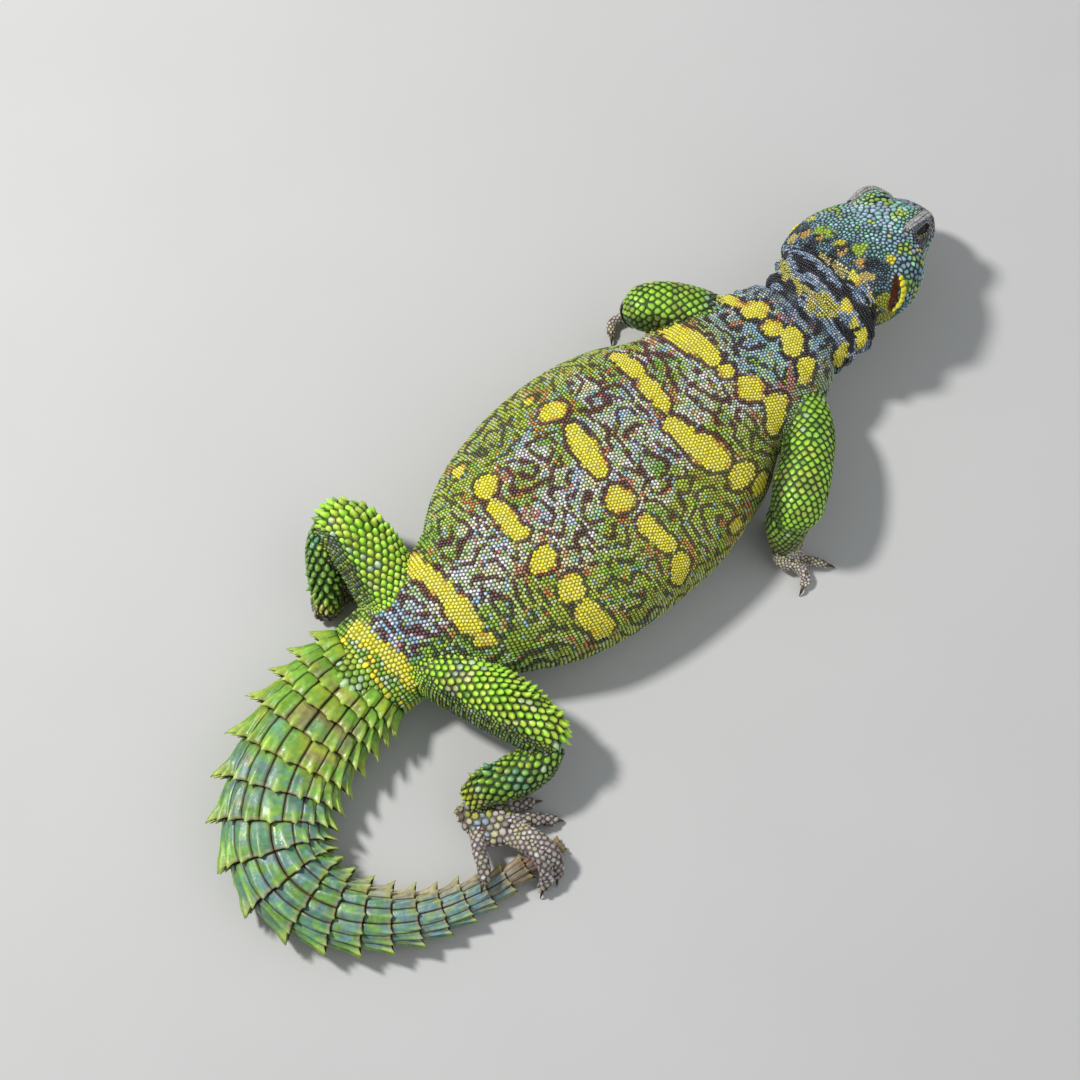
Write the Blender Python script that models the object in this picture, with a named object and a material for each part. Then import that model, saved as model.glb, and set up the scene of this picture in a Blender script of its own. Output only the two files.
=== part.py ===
"""An ornate mastigure (uromastyx) at life size: a still model of the lizard at rest on its belly.

The animal heads along +X with its left side towards +Y, and it rests on the plane Z = 0.
Its head is pitched down and cocked, its legs are drawn up, and its spiny tail curls round to the right.
Sizes are in millimetres and are turned into metres when a mesh is made.
"""

import math

import bmesh
import bpy
import numpy as np
from mathutils import Matrix, Quaternion, Vector

MM = 0.001
GAP = 0.3
UP = Vector((0, 0, 1))

# Trunk stations from the groin side to the shoulders:
# x, y, height of the widest level, half width, height above it, depth below it
TRUNK = [
    (-71.0, 0.4, 9.8, 13.6, 9.2, 9.8),
    (-64.5, 0.4, 10.6, 14.0, 10.6, 10.7),
    (-56.5, 0.0, 11.4, 15.4, 13.0, 11.6),
    (-47.5, -1.0, 12.0, 17.6, 15.2, 12.3),
    (-40.0, -2.2, 12.5, 22.4, 17.0, 12.9),
    (-29.0, -2.8, 13.0, 28.6, 18.6, 13.5),
    (-15.5, -2.6, 13.0, 32.3, 19.6, 13.6),
    (0.0, -2.0, 13.0, 33.6, 20.0, 13.6),
    (15.5, -2.3, 13.0, 32.2, 19.6, 13.6),
    (28.5, -2.4, 13.2, 27.8, 18.4, 13.7),
    (39.0, -1.6, 13.6, 23.0, 16.6, 13.8),
    (50.0, -1.8, 14.4, 20.2, 14.6, 13.6),
    (58.0, -1.6, 15.4, 18.8, 13.2, 12.6),
    (65.0, -1.2, 16.8, 16.6, 11.8, 11.4),
]
TRUNK_RINGS = 25
TRUNK_SIDES = 28
BACK_SHAPE = 2.15
BELLY_SHAPE = 2.7

# The head's own frame: origin midway between the ears, turned from the body's frame
HEAD_ORIGIN = (87.6, 1.6, 21.6)
HEAD_YAW = 1.0
HEAD_PITCH = -15.0
HEAD_ROLL = -27.5
# Head stations: distance ahead of the ears, half width, height above and depth below the mid level
HEAD = [
    (-9.0, 16.4, 9.6, 12.2),
    (-5.0, 17.8, 10.2, 12.8),
    (-0.5, 18.4, 10.5, 13.0),
    (4.0, 17.9, 10.6, 12.8),
    (8.0, 16.4, 10.5, 12.0),
    (11.8, 13.8, 10.1, 10.8),
    (15.4, 11.0, 9.2, 9.8),
    (19.0, 9.0, 7.6, 8.9),
    (22.2, 7.5, 5.6, 8.0),
    (24.8, 6.0, 3.6, 7.2),
    (26.8, 3.8, 1.2, 6.0),
]
HEAD_TOP_SHAPE = 2.3
HEAD_LOW_SHAPE = 2.7
HEAD_TOP_POINTS = 15
HEAD_CHIN_POINTS = 9
MOUTH_LEVEL = -3.4
MOUTH_HALF_GAP = 0.6
MOUTH_DEPTH = 1.0
MOUTH_CORNER = 8.0

EYE = (15.6, 7.4, 4.6)
EYE_RADIUS = 3.6
LID_HALF_SIZES = (5.2, 4.6, 4.3)
LID_OPENING = (3.3, 6.0, 2.0)
DOME = (13.6, 5.6, 7.0)
DOME_HALF_SIZES = (6.2, 3.8, 3.5)
# The ridge over an eye, front to back: ahead, out to the side, up, half width, half height
BROW = [
    (22.2, 6.0, 3.2, 0.6, 0.6),
    (19.4, 7.6, 6.8, 1.3, 1.0),
    (15.6, 8.8, 8.5, 1.7, 1.2),
    (11.8, 9.3, 8.1, 1.4, 1.0),
    (8.4, 9.6, 6.2, 0.6, 0.6),
]
EAR = (-2.4, 17.9, -1.0)
EAR_HALF_SIZES = (1.5, 3.0, 4.6)
EAR_SLANT = 26
# The fringe of scales along the front edge of an ear, from its foot to its top
EAR_FRINGE = [
    (-3.0, 16.8, -6.4, 0.7, 0.7),
    (-0.9, 18.5, -3.2, 1.1, 1.0),
    (0.6, 18.3, 0.4, 1.1, 1.0),
    (1.4, 15.6, 3.8, 0.7, 0.7),
]
NOSTRIL = (24.2, 4.9, 1.4)
NOSTRIL_RADIUS = 0.8

NECK_RINGS = 13
# Half width along the neck, as shares of its length
NECK_WIDTHS = [(0.0, 16.6), (0.22, 15.6), (0.45, 16.4), (0.7, 17.2), (0.88, 17.0), (1.0, 16.4)]
NECK_BEND = -2.6
NECK_FOLDS = 3
NECK_FOLD_DEPTH = 0.7

# Tail stations: x, y, height of the widest level, half width, height above, depth below
TAIL = [
    (-71.0, 0.4, 9.8, 13.6, 9.2, 9.8),
    (-78.0, 0.4, 9.3, 13.8, 9.0, 9.3),
    (-85.5, -0.6, 8.8, 13.9, 8.7, 8.8),
    (-93.8, -2.6, 8.4, 13.9, 8.4, 8.4),
    (-102.4, -6.0, 8.0, 13.5, 8.1, 8.0),
    (-110.4, -11.6, 7.7, 12.9, 7.8, 7.7),
    (-115.9, -18.6, 7.4, 11.9, 7.5, 7.4),
    (-117.9, -26.6, 7.0, 10.9, 7.1, 7.0),
    (-116.4, -34.6, 6.5, 9.6, 6.6, 6.5),
    (-112.6, -41.6, 6.0, 8.3, 6.1, 6.0),
    (-107.3, -47.6, 5.5, 7.1, 5.5, 5.5),
    (-101.0, -52.4, 4.9, 6.0, 4.9, 4.9),
    (-94.2, -55.8, 4.3, 5.0, 4.3, 4.3),
    (-87.2, -58.0, 3.7, 4.1, 3.7, 3.7),
    (-80.2, -59.6, 3.1, 3.2, 3.0, 3.1),
    (-73.6, -60.4, 2.5, 2.4, 2.3, 2.5),
    (-67.4, -61.2, 1.9, 1.7, 1.6, 1.9),
    (-62.0, -61.7, 1.3, 1.0, 1.0, 1.3),
]
WHORLS = 22
FIRST_WHORL = 7.5
LAST_WHORL = 5.3
# Whorls in each length of the tail, and the scutes round a whorl there
TAIL_LENGTHS = [(4, 22), (3, 22), (3, 20), (3, 18), (4, 16), (5, 12)]
WHORL_RISE = 0.9
WHORL_STEP = 1.1
SPINE_LENGTH = 4.2
SPINE_SPREAD = 0.8

# Limb stations: x, y, z, half width, half height, from the root, which is sunk in the body
LIMBS = {
    "thigh_left": [
        (-56.0, 5.0, 13.5, 8.4, 7.8),
        (-54.6, 14.0, 15.5, 8.8, 8.0),
        (-53.4, 22.0, 17.6, 8.6, 7.8),
        (-53.4, 29.0, 18.8, 7.6, 7.0),
        (-55.4, 33.8, 18.6, 5.8, 5.6),
        (-57.0, 36.2, 18.0, 3.2, 3.2),
    ],
    "shank_left": [
        (-56.6, 33.0, 17.0, 4.6, 4.8),
        (-59.8, 31.4, 15.0, 4.9, 5.2),
        (-63.6, 27.2, 12.0, 4.7, 5.0),
        (-66.8, 22.6, 8.6, 4.1, 4.2),
        (-69.0, 20.0, 5.8, 3.4, 3.4),
    ],
    "thigh_right": [
        (-58.4, -4.0, 13.0, 7.4, 7.2),
        (-57.6, -13.0, 14.6, 7.6, 7.4),
        (-54.6, -21.6, 16.0, 7.8, 7.6),
        (-51.6, -29.6, 16.8, 7.9, 7.6),
        (-49.6, -36.4, 16.8, 6.9, 6.8),
        (-48.2, -41.4, 16.2, 5.4, 5.6),
        (-48.0, -44.0, 15.4, 3.2, 3.2),
    ],
    "shank_right": [
        (-49.0, -41.8, 14.0, 4.8, 5.0),
        (-54.0, -43.6, 12.8, 5.5, 5.2),
        (-61.4, -42.6, 11.0, 5.6, 5.2),
        (-68.0, -40.0, 8.8, 4.6, 4.3),
        (-72.4, -39.6, 6.8, 3.7, 3.5),
    ],
    "upper_arm_left": [
        (55.0, 6.0, 15.0, 5.0, 5.4),
        (52.6, 14.0, 17.0, 5.6, 5.8),
        (48.0, 20.0, 18.8, 6.3, 6.2),
        (42.4, 25.2, 19.2, 6.4, 6.2),
        (38.0, 28.2, 18.4, 5.2, 5.2),
        (36.4, 29.4, 17.8, 3.0, 3.0),
    ],
    "forearm_left": [
        (38.6, 27.6, 16.6, 4.6, 4.6),
        (40.2, 28.8, 13.6, 4.6, 4.6),
        (42.2, 29.4, 10.0, 3.8, 3.8),
        (43.8, 29.4, 6.4, 3.0, 3.0),
    ],
    "upper_arm_right": [
        (56.0, -9.0, 14.6, 6.2, 6.2),
        (54.6, -17.4, 16.6, 5.8, 6.0),
        (50.8, -24.0, 18.6, 6.4, 6.3),
        (44.4, -30.0, 19.8, 6.9, 6.7),
        (38.0, -34.8, 19.6, 7.1, 6.8),
        (33.4, -38.6, 18.2, 6.0, 5.8),
        (31.2, -40.2, 17.0, 3.6, 3.6),
    ],
    "forearm_right": [
        (35.2, -36.4, 16.6, 5.6, 5.4),
        (32.2, -37.8, 13.4, 5.8, 5.4),
        (30.4, -39.4, 10.0, 4.9, 4.6),
        (29.2, -40.8, 6.6, 3.6, 3.4),
    ],
}
LIMB_SIDES = 14
LIMB_RINGS = 10
# Rows of points on the hind legs: share of the length from and to, points in a row, angles of the rows
SPIKES = {
    "thigh_left": (0.42, 0.86, 4, (35, 75, 115)),
    "thigh_right": (0.42, 0.86, 4, (65, 105, 145)),
    "shank_left": (0.25, 0.8, 4, (45, 85)),
    "shank_right": (0.25, 0.8, 4, (75, 20)),
}
SPIKE_RADIUS = 0.85
SPIKE_LENGTH = 1.7
# What each limb solid is trimmed by, with a gap
TRIMMED_BY = {
    "thigh_left": ("torso",),
    "shank_left": ("thigh_left", "torso"),
    "thigh_right": ("torso",),
    "shank_right": ("thigh_right", "torso"),
    "upper_arm_left": ("torso",),
    "forearm_left": ("upper_arm_left", "torso"),
    "upper_arm_right": ("torso",),
    "forearm_right": ("upper_arm_right", "torso"),
}

# Feet: palm stations as the limbs', then the toes' centre lines from the root to the base of the claw
FEET = {
    "foot_left": {
        "meets": "shank_left",
        "palm": [
            (-69.6, 19.6, 5.0, 3.2, 2.8),
            (-68.4, 21.4, 3.6, 4.0, 2.6),
            (-65.4, 24.0, 3.0, 4.8, 2.4),
            (-61.6, 25.6, 2.6, 4.6, 2.0),
        ],
        "toes": [
            [(-64.0, 20.8, 2.4), (-60.4, 19.2, 2.2), (-57.4, 18.9, 1.2)],
            [(-62.4, 22.8, 2.4), (-57.0, 21.8, 2.6), (-52.6, 22.2, 1.2)],
            [(-61.8, 24.8, 2.4), (-55.4, 24.8, 2.8), (-50.0, 25.6, 1.2)],
            [(-61.8, 26.6, 2.4), (-56.0, 28.2, 2.9), (-51.4, 29.4, 1.2)],
            [(-65.4, 26.6, 2.4), (-62.6, 29.6, 2.4), (-59.4, 31.0, 1.2)],
        ],
    },
    "foot_right": {
        "meets": "shank_right",
        "palm": [
            (-73.4, -39.6, 6.0, 3.4, 3.0),
            (-73.8, -43.2, 5.0, 4.2, 3.2),
            (-72.0, -47.8, 5.0, 5.2, 3.0),
            (-69.8, -51.2, 5.8, 3.8, 2.2),
        ],
        "toes": [
            [(-69.2, -45.8, 4.6), (-64.4, -47.4, 3.6), (-60.4, -49.4, 1.4)],
            [(-68.6, -49.4, 5.2), (-63.6, -52.6, 4.4), (-59.2, -56.2, 1.4)],
            [(-68.4, -51.6, 5.8), (-65.8, -57.0, 7.8), (-65.0, -61.8, 8.0), (-66.0, -65.4, 4.6), (-67.4, -67.0, 1.5)],
            [(-71.0, -52.0, 5.8), (-69.2, -57.4, 8.2), (-68.6, -62.0, 8.6), (-69.8, -65.8, 5.0), (-72.0, -67.2, 1.6)],
            [(-75.4, -45.6, 5.0), (-78.4, -50.6, 8.4), (-81.2, -56.0, 10.2), (-83.0, -57.6, 10.2)],
        ],
    },
    "hand_left": {
        "meets": "forearm_left",
        "palm": [
            (44.0, 29.4, 5.4, 2.9, 2.8),
            (44.8, 29.6, 3.6, 3.6, 2.6),
            (46.8, 30.0, 2.6, 4.0, 2.0),
        ],
        "toes": [
            [(45.2, 27.6, 2.2), (48.4, 25.4, 2.2), (50.8, 24.4, 1.2)],
            [(47.2, 28.8, 2.2), (50.6, 28.0, 2.4), (53.0, 27.8, 1.2)],
            [(47.4, 30.2, 2.2), (50.6, 30.6, 2.5), (53.4, 30.6, 1.2)],
            [(46.2, 31.2, 2.2), (48.2, 32.0, 2.2), (49.8, 32.6, 1.2)],
            [(43.2, 30.6, 2.4), (38.8, 32.8, 2.4), (35.4, 33.2, 2.0), (33.6, 31.0, 1.3)],
        ],
    },
    "hand_right": {
        "meets": "forearm_right",
        "palm": [
            (29.0, -41.0, 5.6, 3.3, 3.1),
            (29.0, -42.4, 3.9, 4.0, 2.8),
            (29.6, -44.8, 2.6, 3.8, 2.1),
        ],
        "toes": [
            [(29.0, -41.4, 2.2), (29.8, -37.4, 2.2), (31.2, -34.6, 1.2)],
            [(30.6, -41.8, 2.2), (33.0, -38.2, 2.2), (35.2, -35.4, 1.2)],
            [(31.4, -43.2, 2.3), (34.8, -41.0, 2.4), (37.4, -38.8, 1.2)],
            [(30.4, -44.6, 2.3), (33.2, -48.2, 2.6), (35.2, -50.6, 1.3)],
            [(28.6, -45.2, 2.4), (29.2, -48.6, 2.6), (28.8, -50.4, 1.9), (27.2, -51.2, 1.3)],
        ],
    },
}
TOE_RADIUS = 1.5
TOE_TIP_RADIUS = 1.15
TOE_SIDES = 7
TOE_RINGS = 6
CLAW_LENGTH = 3.2
CLAW_DROP = 1.2
CLAW_RADIUS = 0.75
CLAW_TIP_RADIUS = 0.22

COLOURS = {
    "head": (0.20, 0.42, 0.40),
    "neck": (0.10, 0.13, 0.22),
    "torso": (0.36, 0.36, 0.20),
    "tail": (0.20, 0.50, 0.16),
    "limb": (0.24, 0.55, 0.07),
    "foot": (0.46, 0.40, 0.38),
    "eye": (0.03, 0.02, 0.015),
}


def smooth_rows(stations, count):
    """Station rows resampled evenly along their first three columns, on a smooth curve through them all."""
    rows = np.array(stations, float)
    steps = np.linalg.norm(np.diff(rows[:, :3], axis=0), axis=1)
    place = np.concatenate([[0], np.cumsum(steps)])
    return curve_at(rows, place, np.linspace(0, place[-1], count))


def curve_at(rows, place, wanted):
    """Cubic Hermite curve through rows at the given places, with finite-difference slopes."""
    slopes = np.gradient(rows, place, axis=0)
    at = np.clip(np.searchsorted(place, wanted, side="right") - 1, 0, len(place) - 2)
    span = (place[at + 1] - place[at])[:, None]
    t = (wanted[:, None] - place[at][:, None]) / span
    return (
        rows[at] * (2 * t**3 - 3 * t**2 + 1)
        + slopes[at] * span * (t**3 - 2 * t**2 + t)
        + rows[at + 1] * (3 * t**2 - 2 * t**3)
        + slopes[at + 1] * span * (t**3 - t**2)
    )


def power(value, shape):
    return np.sign(value) * np.abs(value) ** (2 / shape)


def section(angles, half_width, above, below, top_shape, low_shape):
    """Points (side, up) of a closed section at the given angles, anticlockwise from the right side."""
    across, upward = np.cos(angles), np.sin(angles)
    over = upward >= 0
    shape = np.where(over, top_shape, low_shape)
    return power(across, shape) * half_width, power(upward, shape) * np.where(over, above, below)


def object_of(name, rings):
    """A closed mesh object through rings of equal length, with a flat cap at each end."""
    count = len(rings[0])
    points = np.concatenate(rings) * MM
    faces = []
    for ring in range(len(rings) - 1):
        for k in range(count):
            one = ring * count + k
            two = ring * count + (k + 1) % count
            faces.append((one, two, two + count, one + count))
    faces.append(tuple(range(count)))
    faces.append(tuple(range(len(points) - count, len(points))))
    mesh = bpy.data.meshes.new(name)
    mesh.from_pydata([tuple(p) for p in points], [], faces)
    shape = bmesh.new()
    shape.from_mesh(mesh)
    bmesh.ops.recalc_face_normals(shape, faces=shape.faces)
    shape.to_mesh(mesh)
    shape.free()
    return link(bpy.data.objects.new(name, mesh))


def link(item):
    animal.objects.link(item)
    return item


def frames_along(rows, level=False, hint=UP):
    """Unit tangent, side and up vectors at each row's centre. Level ones keep each ring upright."""
    tangents = np.gradient(rows[:, :3], axis=0)
    if level:
        tangents[:, 2] = 0
    tangents /= np.linalg.norm(tangents, axis=1)[:, None]
    sides = np.cross(tangents, np.array(hint))
    sides /= np.linalg.norm(sides, axis=1)[:, None]
    return tangents, sides, np.cross(sides, tangents)


def tube_rings(stations, count, sides, grown=0.0, floor=True):
    """Rings of a limb or toe from stations of centre, half width and half height."""
    rows = smooth_rows(stations, count)
    tangents, across, upward = frames_along(rows)
    angles = np.linspace(0, 2 * math.pi, sides, endpoint=False)
    rings = []
    for index, row in enumerate(rows):
        x, y = section(angles, row[3] + grown, row[4] + grown, row[4] + grown, 2.1, 2.1)
        middle = row[:3]
        if grown and index in (0, count - 1):
            middle = middle + tangents[index] * grown * (1 if index else -1)
        ring = middle + x[:, None] * across[index] + y[:, None] * upward[index]
        if floor:
            ring[:, 2] = np.maximum(ring[:, 2], 0)
        rings.append(ring)
    return rings


def trunk_rings(grown=0.0):
    rows = smooth_rows(TRUNK, TRUNK_RINGS)
    rows[:, 3:] += grown
    _, across, upward = frames_along(rows, level=True)
    angles = np.linspace(0, 2 * math.pi, TRUNK_SIDES, endpoint=False)
    rings = []
    for index, row in enumerate(rows):
        x, y = section(angles, row[3], row[4], row[5], BACK_SHAPE, BELLY_SHAPE)
        ring = row[:3] + x[:, None] * across[index] + y[:, None] * upward[index]
        ring[:, 2] = np.maximum(ring[:, 2], -grown)
        rings.append(ring)
    return rings


def head_turn():
    yaw = Quaternion((0, 0, 1), math.radians(HEAD_YAW))
    pitch = Quaternion((0, 1, 0), math.radians(-HEAD_PITCH))
    roll = Quaternion((1, 0, 0), math.radians(HEAD_ROLL))
    return yaw @ pitch @ roll


def head_matrix():
    return Matrix.Translation(Vector(HEAD_ORIGIN)) @ head_turn().to_matrix().to_4x4()


def to_world(points, matrix):
    turn = np.array(matrix)
    return np.asarray(points) @ turn[:3, :3].T + turn[:3, 3]


def head_angles(below):
    """Angles round a head section, with three of them at each side's mouth line."""
    def low(depth):
        return -math.asin(min(1.0, (depth / below)) ** (HEAD_LOW_SHAPE / 2))

    lip, line, chin = (low(-MOUTH_LEVEL + step * MOUTH_HALF_GAP) for step in (-1, 0, 1))
    right = [chin, line, lip]
    top = np.linspace(lip, math.pi - lip, HEAD_TOP_POINTS + 2)[1:-1]
    left = [math.pi - a for a in (lip, line, chin)]
    under = np.linspace(math.pi - chin, 2 * math.pi + chin, HEAD_CHIN_POINTS + 2)[1:-1]
    return np.array([*right, *top, *left, *under]), (1, 3 + HEAD_TOP_POINTS + 1)


def head_ring(row, head):
    """One ring of the head at a station row, in world space. The mouth's points are pressed in."""
    ahead, half_width, above, below = row
    angles, mouth = head_angles(below)
    x, y = section(angles, half_width, above, below, HEAD_TOP_SHAPE, HEAD_LOW_SHAPE)
    if ahead > MOUTH_CORNER:
        for k in mouth:
            x[k] -= math.copysign(MOUTH_DEPTH, x[k])
    points = np.stack([np.full(len(x), ahead), -x, y], 1)
    return to_world(points, head)


def head_rows(count):
    """Head stations resampled along the head's axis."""
    rows = np.array(HEAD)
    return curve_at(rows, rows[:, 0], np.linspace(rows[0, 0], rows[-1, 0], count))


def build_head():
    head = head_matrix()
    rings = [head_ring(row, head) for row in head_rows(20)]
    nose = HEAD[-1]
    rings.append(head_ring((nose[0] + 0.8, nose[1] * 0.5, nose[2] - 1.4, nose[3] * 0.74), head))
    skull = object_of("head", rings)
    extras, cutters = [], []
    for side in (1, -1):
        slant = Matrix.Rotation(math.radians(EAR_SLANT), 4, "Y")
        extras.append(ball("dome", mirrored(DOME, side), DOME_HALF_SIZES, head))
        extras.append(ball("lid", mirrored(EYE, side), LID_HALF_SIZES, head))
        extras.append(bar("brow", BROW, side, head))
        extras.append(bar("fringe", EAR_FRINGE, side, head))
        cutters.append(ball("socket", mirrored(EYE, side), (EYE_RADIUS + GAP,) * 3, head, segments=16))
        opening = (EYE[0] + 0.3, (EYE[1] + 2.4) * side, EYE[2] - 0.2)
        cutters.append(ball("opening", opening, LID_OPENING, head))
        cutters.append(ball("ear_cup", mirrored(EAR, side), EAR_HALF_SIZES, head, turn=slant))
        cutters.append(ball("nostril", mirrored(NOSTRIL, side), (NOSTRIL_RADIUS,) * 3, head, segments=8))
    join(skull, extras)
    cut(skull, cutters)
    keep_largest(skull)
    for name, side in (("eye_left", 1), ("eye_right", -1)):
        ball(name, mirrored(EYE, side), (EYE_RADIUS,) * 3, head, segments=16)


def mirrored(point, side):
    return (point[0], point[1] * side, point[2])


def ball(name, centre, half_sizes, frame, segments=14, turn=None):
    """An ellipsoid in a frame given in millimetres."""
    bpy.ops.mesh.primitive_uv_sphere_add(segments=segments, ring_count=segments // 2, radius=1)
    item = bpy.context.active_object
    item.name = name
    place = frame @ Matrix.Translation(Vector(centre)) @ (turn or Matrix.Identity(4))
    item.data.transform(Matrix.Scale(MM, 4) @ place @ Matrix.Diagonal((*half_sizes, 1)))
    for holder in item.users_collection:
        holder.objects.unlink(item)
    return link(item)


def bar(name, stations, side, head):
    """A tapered bar on one side of the head, through stations in the head's frame."""
    rings = tube_rings([(x, y * side, *rest) for x, y, *rest in stations], 8, 8, floor=False)
    return object_of(name, [to_world(ring, head) for ring in rings])


def neck_rings():
    """Rings that turn from the trunk's front end into the back of the head."""
    rows = smooth_rows(TRUNK, TRUNK_RINGS)
    start = rows[-1]
    tangents, _, _ = frames_along(rows, level=True)
    head = head_matrix()
    first = HEAD[0]
    end = np.array(head @ Vector((first[0] - GAP, 0, 0)))
    begin = start[:3] + tangents[-1] * GAP
    turn_to = head_turn()
    turn_from = UP.cross(Vector(tangents[-1])).normalized()
    level = Matrix((Vector(tangents[-1]), turn_from, Vector(tangents[-1]).cross(turn_from))).transposed()
    turn_start = level.to_quaternion()
    span = np.linalg.norm(end - begin)
    leave = tangents[-1] * span
    arrive = np.array(turn_to @ Vector((1, 0, 0))) * span
    rings = []
    for step in np.linspace(0, 1, NECK_RINGS):
        t = step
        middle = (
            begin * (2 * t**3 - 3 * t**2 + 1)
            + leave * (t**3 - 2 * t**2 + t)
            + end * (3 * t**2 - 2 * t**3)
            + arrive * (t**3 - t**2)
            + np.array((0, NECK_BEND * math.sin(math.pi * t), 0))
        )
        fold = NECK_FOLD_DEPTH * math.sin(math.pi * t) * math.cos(2 * math.pi * NECK_FOLDS * t)
        sizes = np.array(start[3:6]) * (1 - t) + np.array(first[1:4]) * t + fold
        sizes[0] = np.interp(t, *zip(*NECK_WIDTHS)) + fold
        turned = turn_start.slerp(turn_to, t).to_matrix()
        angles = head_angles(sizes[2])[0]
        x, y = section(angles, sizes[0], sizes[1], sizes[2], HEAD_TOP_SHAPE, HEAD_LOW_SHAPE)
        points = np.stack([np.zeros(len(x)), -x, y], 1)
        rings.append(points @ np.array(turned).T + middle)
    return rings


def whorl_lengths():
    return [FIRST_WHORL + (LAST_WHORL - FIRST_WHORL) * k / (WHORLS - 1) for k in range(WHORLS)]


def tail_rows():
    """The tail's rows at fine steps, with the distance run at each."""
    rows = smooth_rows(TAIL, 240)
    steps = np.linalg.norm(np.diff(rows[:, :3], axis=0), axis=1)
    return rows, np.concatenate([[0], np.cumsum(steps)])


def tail_ring(rows, place, run, shift, angles, rise, back):
    """A ring shifted along the tail from the distance run, raised and swept back per point."""
    row = curve_at(rows, place, np.array([run]))[0]
    nearby = curve_at(rows, place, np.array([run - 0.5, run + 0.5]).clip(0, place[-1]))
    tangent = (nearby[1, :3] - nearby[0, :3]) * (1, 1, 0)
    tangent /= np.linalg.norm(tangent)
    side = np.cross(tangent, UP)
    side /= np.linalg.norm(side)
    upward = np.cross(side, tangent)
    x, y = section(angles, row[3], row[4], row[5], 2.2, 2.5)
    outward = np.stack([x / row[3] ** 2, y / np.where(y > 0, row[4], row[5]) ** 2], 1)
    outward /= np.linalg.norm(outward, axis=1)[:, None]
    lift = rise + back * SPINE_SPREAD
    x = x + outward[:, 0] * lift
    y = y + outward[:, 1] * lift
    ring = row[:3] + x[:, None] * side + y[:, None] * upward + np.outer(back + shift, tangent)
    ring[:, 2] = np.maximum(ring[:, 2], 0)
    return ring


def spine_sizes(angles, share):
    """How far each scute's point runs back: longest at the sides, short on top, none under the tail."""
    upward = np.sin(angles)
    side = np.exp(-(((upward - 0.12) / 0.42) ** 2))
    top = np.clip(upward, 0, 1) * 0.34
    return SPINE_LENGTH * (1 - 0.72 * share) * np.clip(side + top, 0, 1) * (upward > -0.45)


def build_tail():
    rows, place = tail_rows()
    lengths = whorl_lengths()
    scale = place[-1] / sum(lengths)
    run, whorl = 0.0, 0
    for number, (count, scutes) in enumerate(TAIL_LENGTHS, 1):
        angles = np.linspace(0, 2 * math.pi, 2 * scutes, endpoint=False)
        points = np.arange(2 * scutes) % 2 == 1
        nothing = np.zeros(2 * scutes)
        start = GAP if number == 1 else GAP / 2
        rings = [tail_ring(rows, place, run, start, angles, nothing - WHORL_STEP, nothing)]
        for index in range(count):
            length = lengths[whorl] * scale
            share = (run + length) / place[-1]
            size = 1 - 0.6 * share
            seams = np.where(points, 0, -0.35) * size
            back = np.where(points, spine_sizes(angles, share), 0)
            shift = 1.0 if index == 0 else 0.6
            rings.append(tail_ring(rows, place, run, shift, angles, seams - 0.2, nothing))
            run += length
            raised = WHORL_RISE * size + seams
            rings.append(tail_ring(rows, place, run, -0.6, angles, raised, back))
            rings.append(tail_ring(rows, place, run, -GAP / 2, angles, nothing - WHORL_STEP * size, nothing))
            whorl += 1
        object_of(f"tail_{number}", rings)


def build_foot(name, spec):
    palm = object_of(name, tube_rings(spec["palm"], 6, 10))
    pieces = []
    for toe in spec["toes"]:
        radii = np.linspace(TOE_RADIUS, TOE_TIP_RADIUS, len(toe))
        stations = [(*point, radius, radius) for point, radius in zip(toe, radii)]
        pieces.append(object_of("toe", tube_rings(stations, TOE_RINGS, TOE_SIDES)))
        pieces.append(claw(toe))
    join(palm, pieces)
    keep_largest(palm)
    return palm


def claw(toe):
    """A curved claw that carries on from the end of a toe and dips at its tip."""
    tip, before = np.array(toe[-1]), np.array(toe[-2])
    along = (tip - before) * (1, 1, 0)
    along /= np.linalg.norm(along)
    start = tip - along * 1.2
    end = tip + along * CLAW_LENGTH - np.array((0, 0, CLAW_DROP))
    end[2] = max(end[2], CLAW_TIP_RADIUS + 0.1)
    middle = tip + along * CLAW_LENGTH * 0.45 + np.array((0, 0, 0.25))
    stations = [(*start, CLAW_RADIUS, CLAW_RADIUS), (*middle, 0.6, 0.6)]
    stations.append((*end, CLAW_TIP_RADIUS, CLAW_TIP_RADIUS))
    return object_of("claw", tube_rings(stations, 4, 5))


def boolean(item, others, operation):
    """Applies one Boolean on a collection of helper objects, then removes them."""
    helpers = bpy.data.collections.new("helpers")
    for other in others:
        animal.objects.unlink(other)
        helpers.objects.link(other)
    modifier = item.modifiers.new(operation.lower(), "BOOLEAN")
    modifier.operation = operation
    modifier.operand_type = "COLLECTION"
    modifier.collection = helpers
    modifier.solver = "EXACT"
    bpy.context.view_layer.update()
    graph = bpy.context.evaluated_depsgraph_get()
    made = bpy.data.meshes.new_from_object(item.evaluated_get(graph))
    item.modifiers.clear()
    item.data = made
    for other in others:
        bpy.data.objects.remove(other)
    bpy.data.collections.remove(helpers)


def join(item, others):
    boolean(item, others, "UNION")


def cut(item, others):
    boolean(item, others, "DIFFERENCE")


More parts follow.
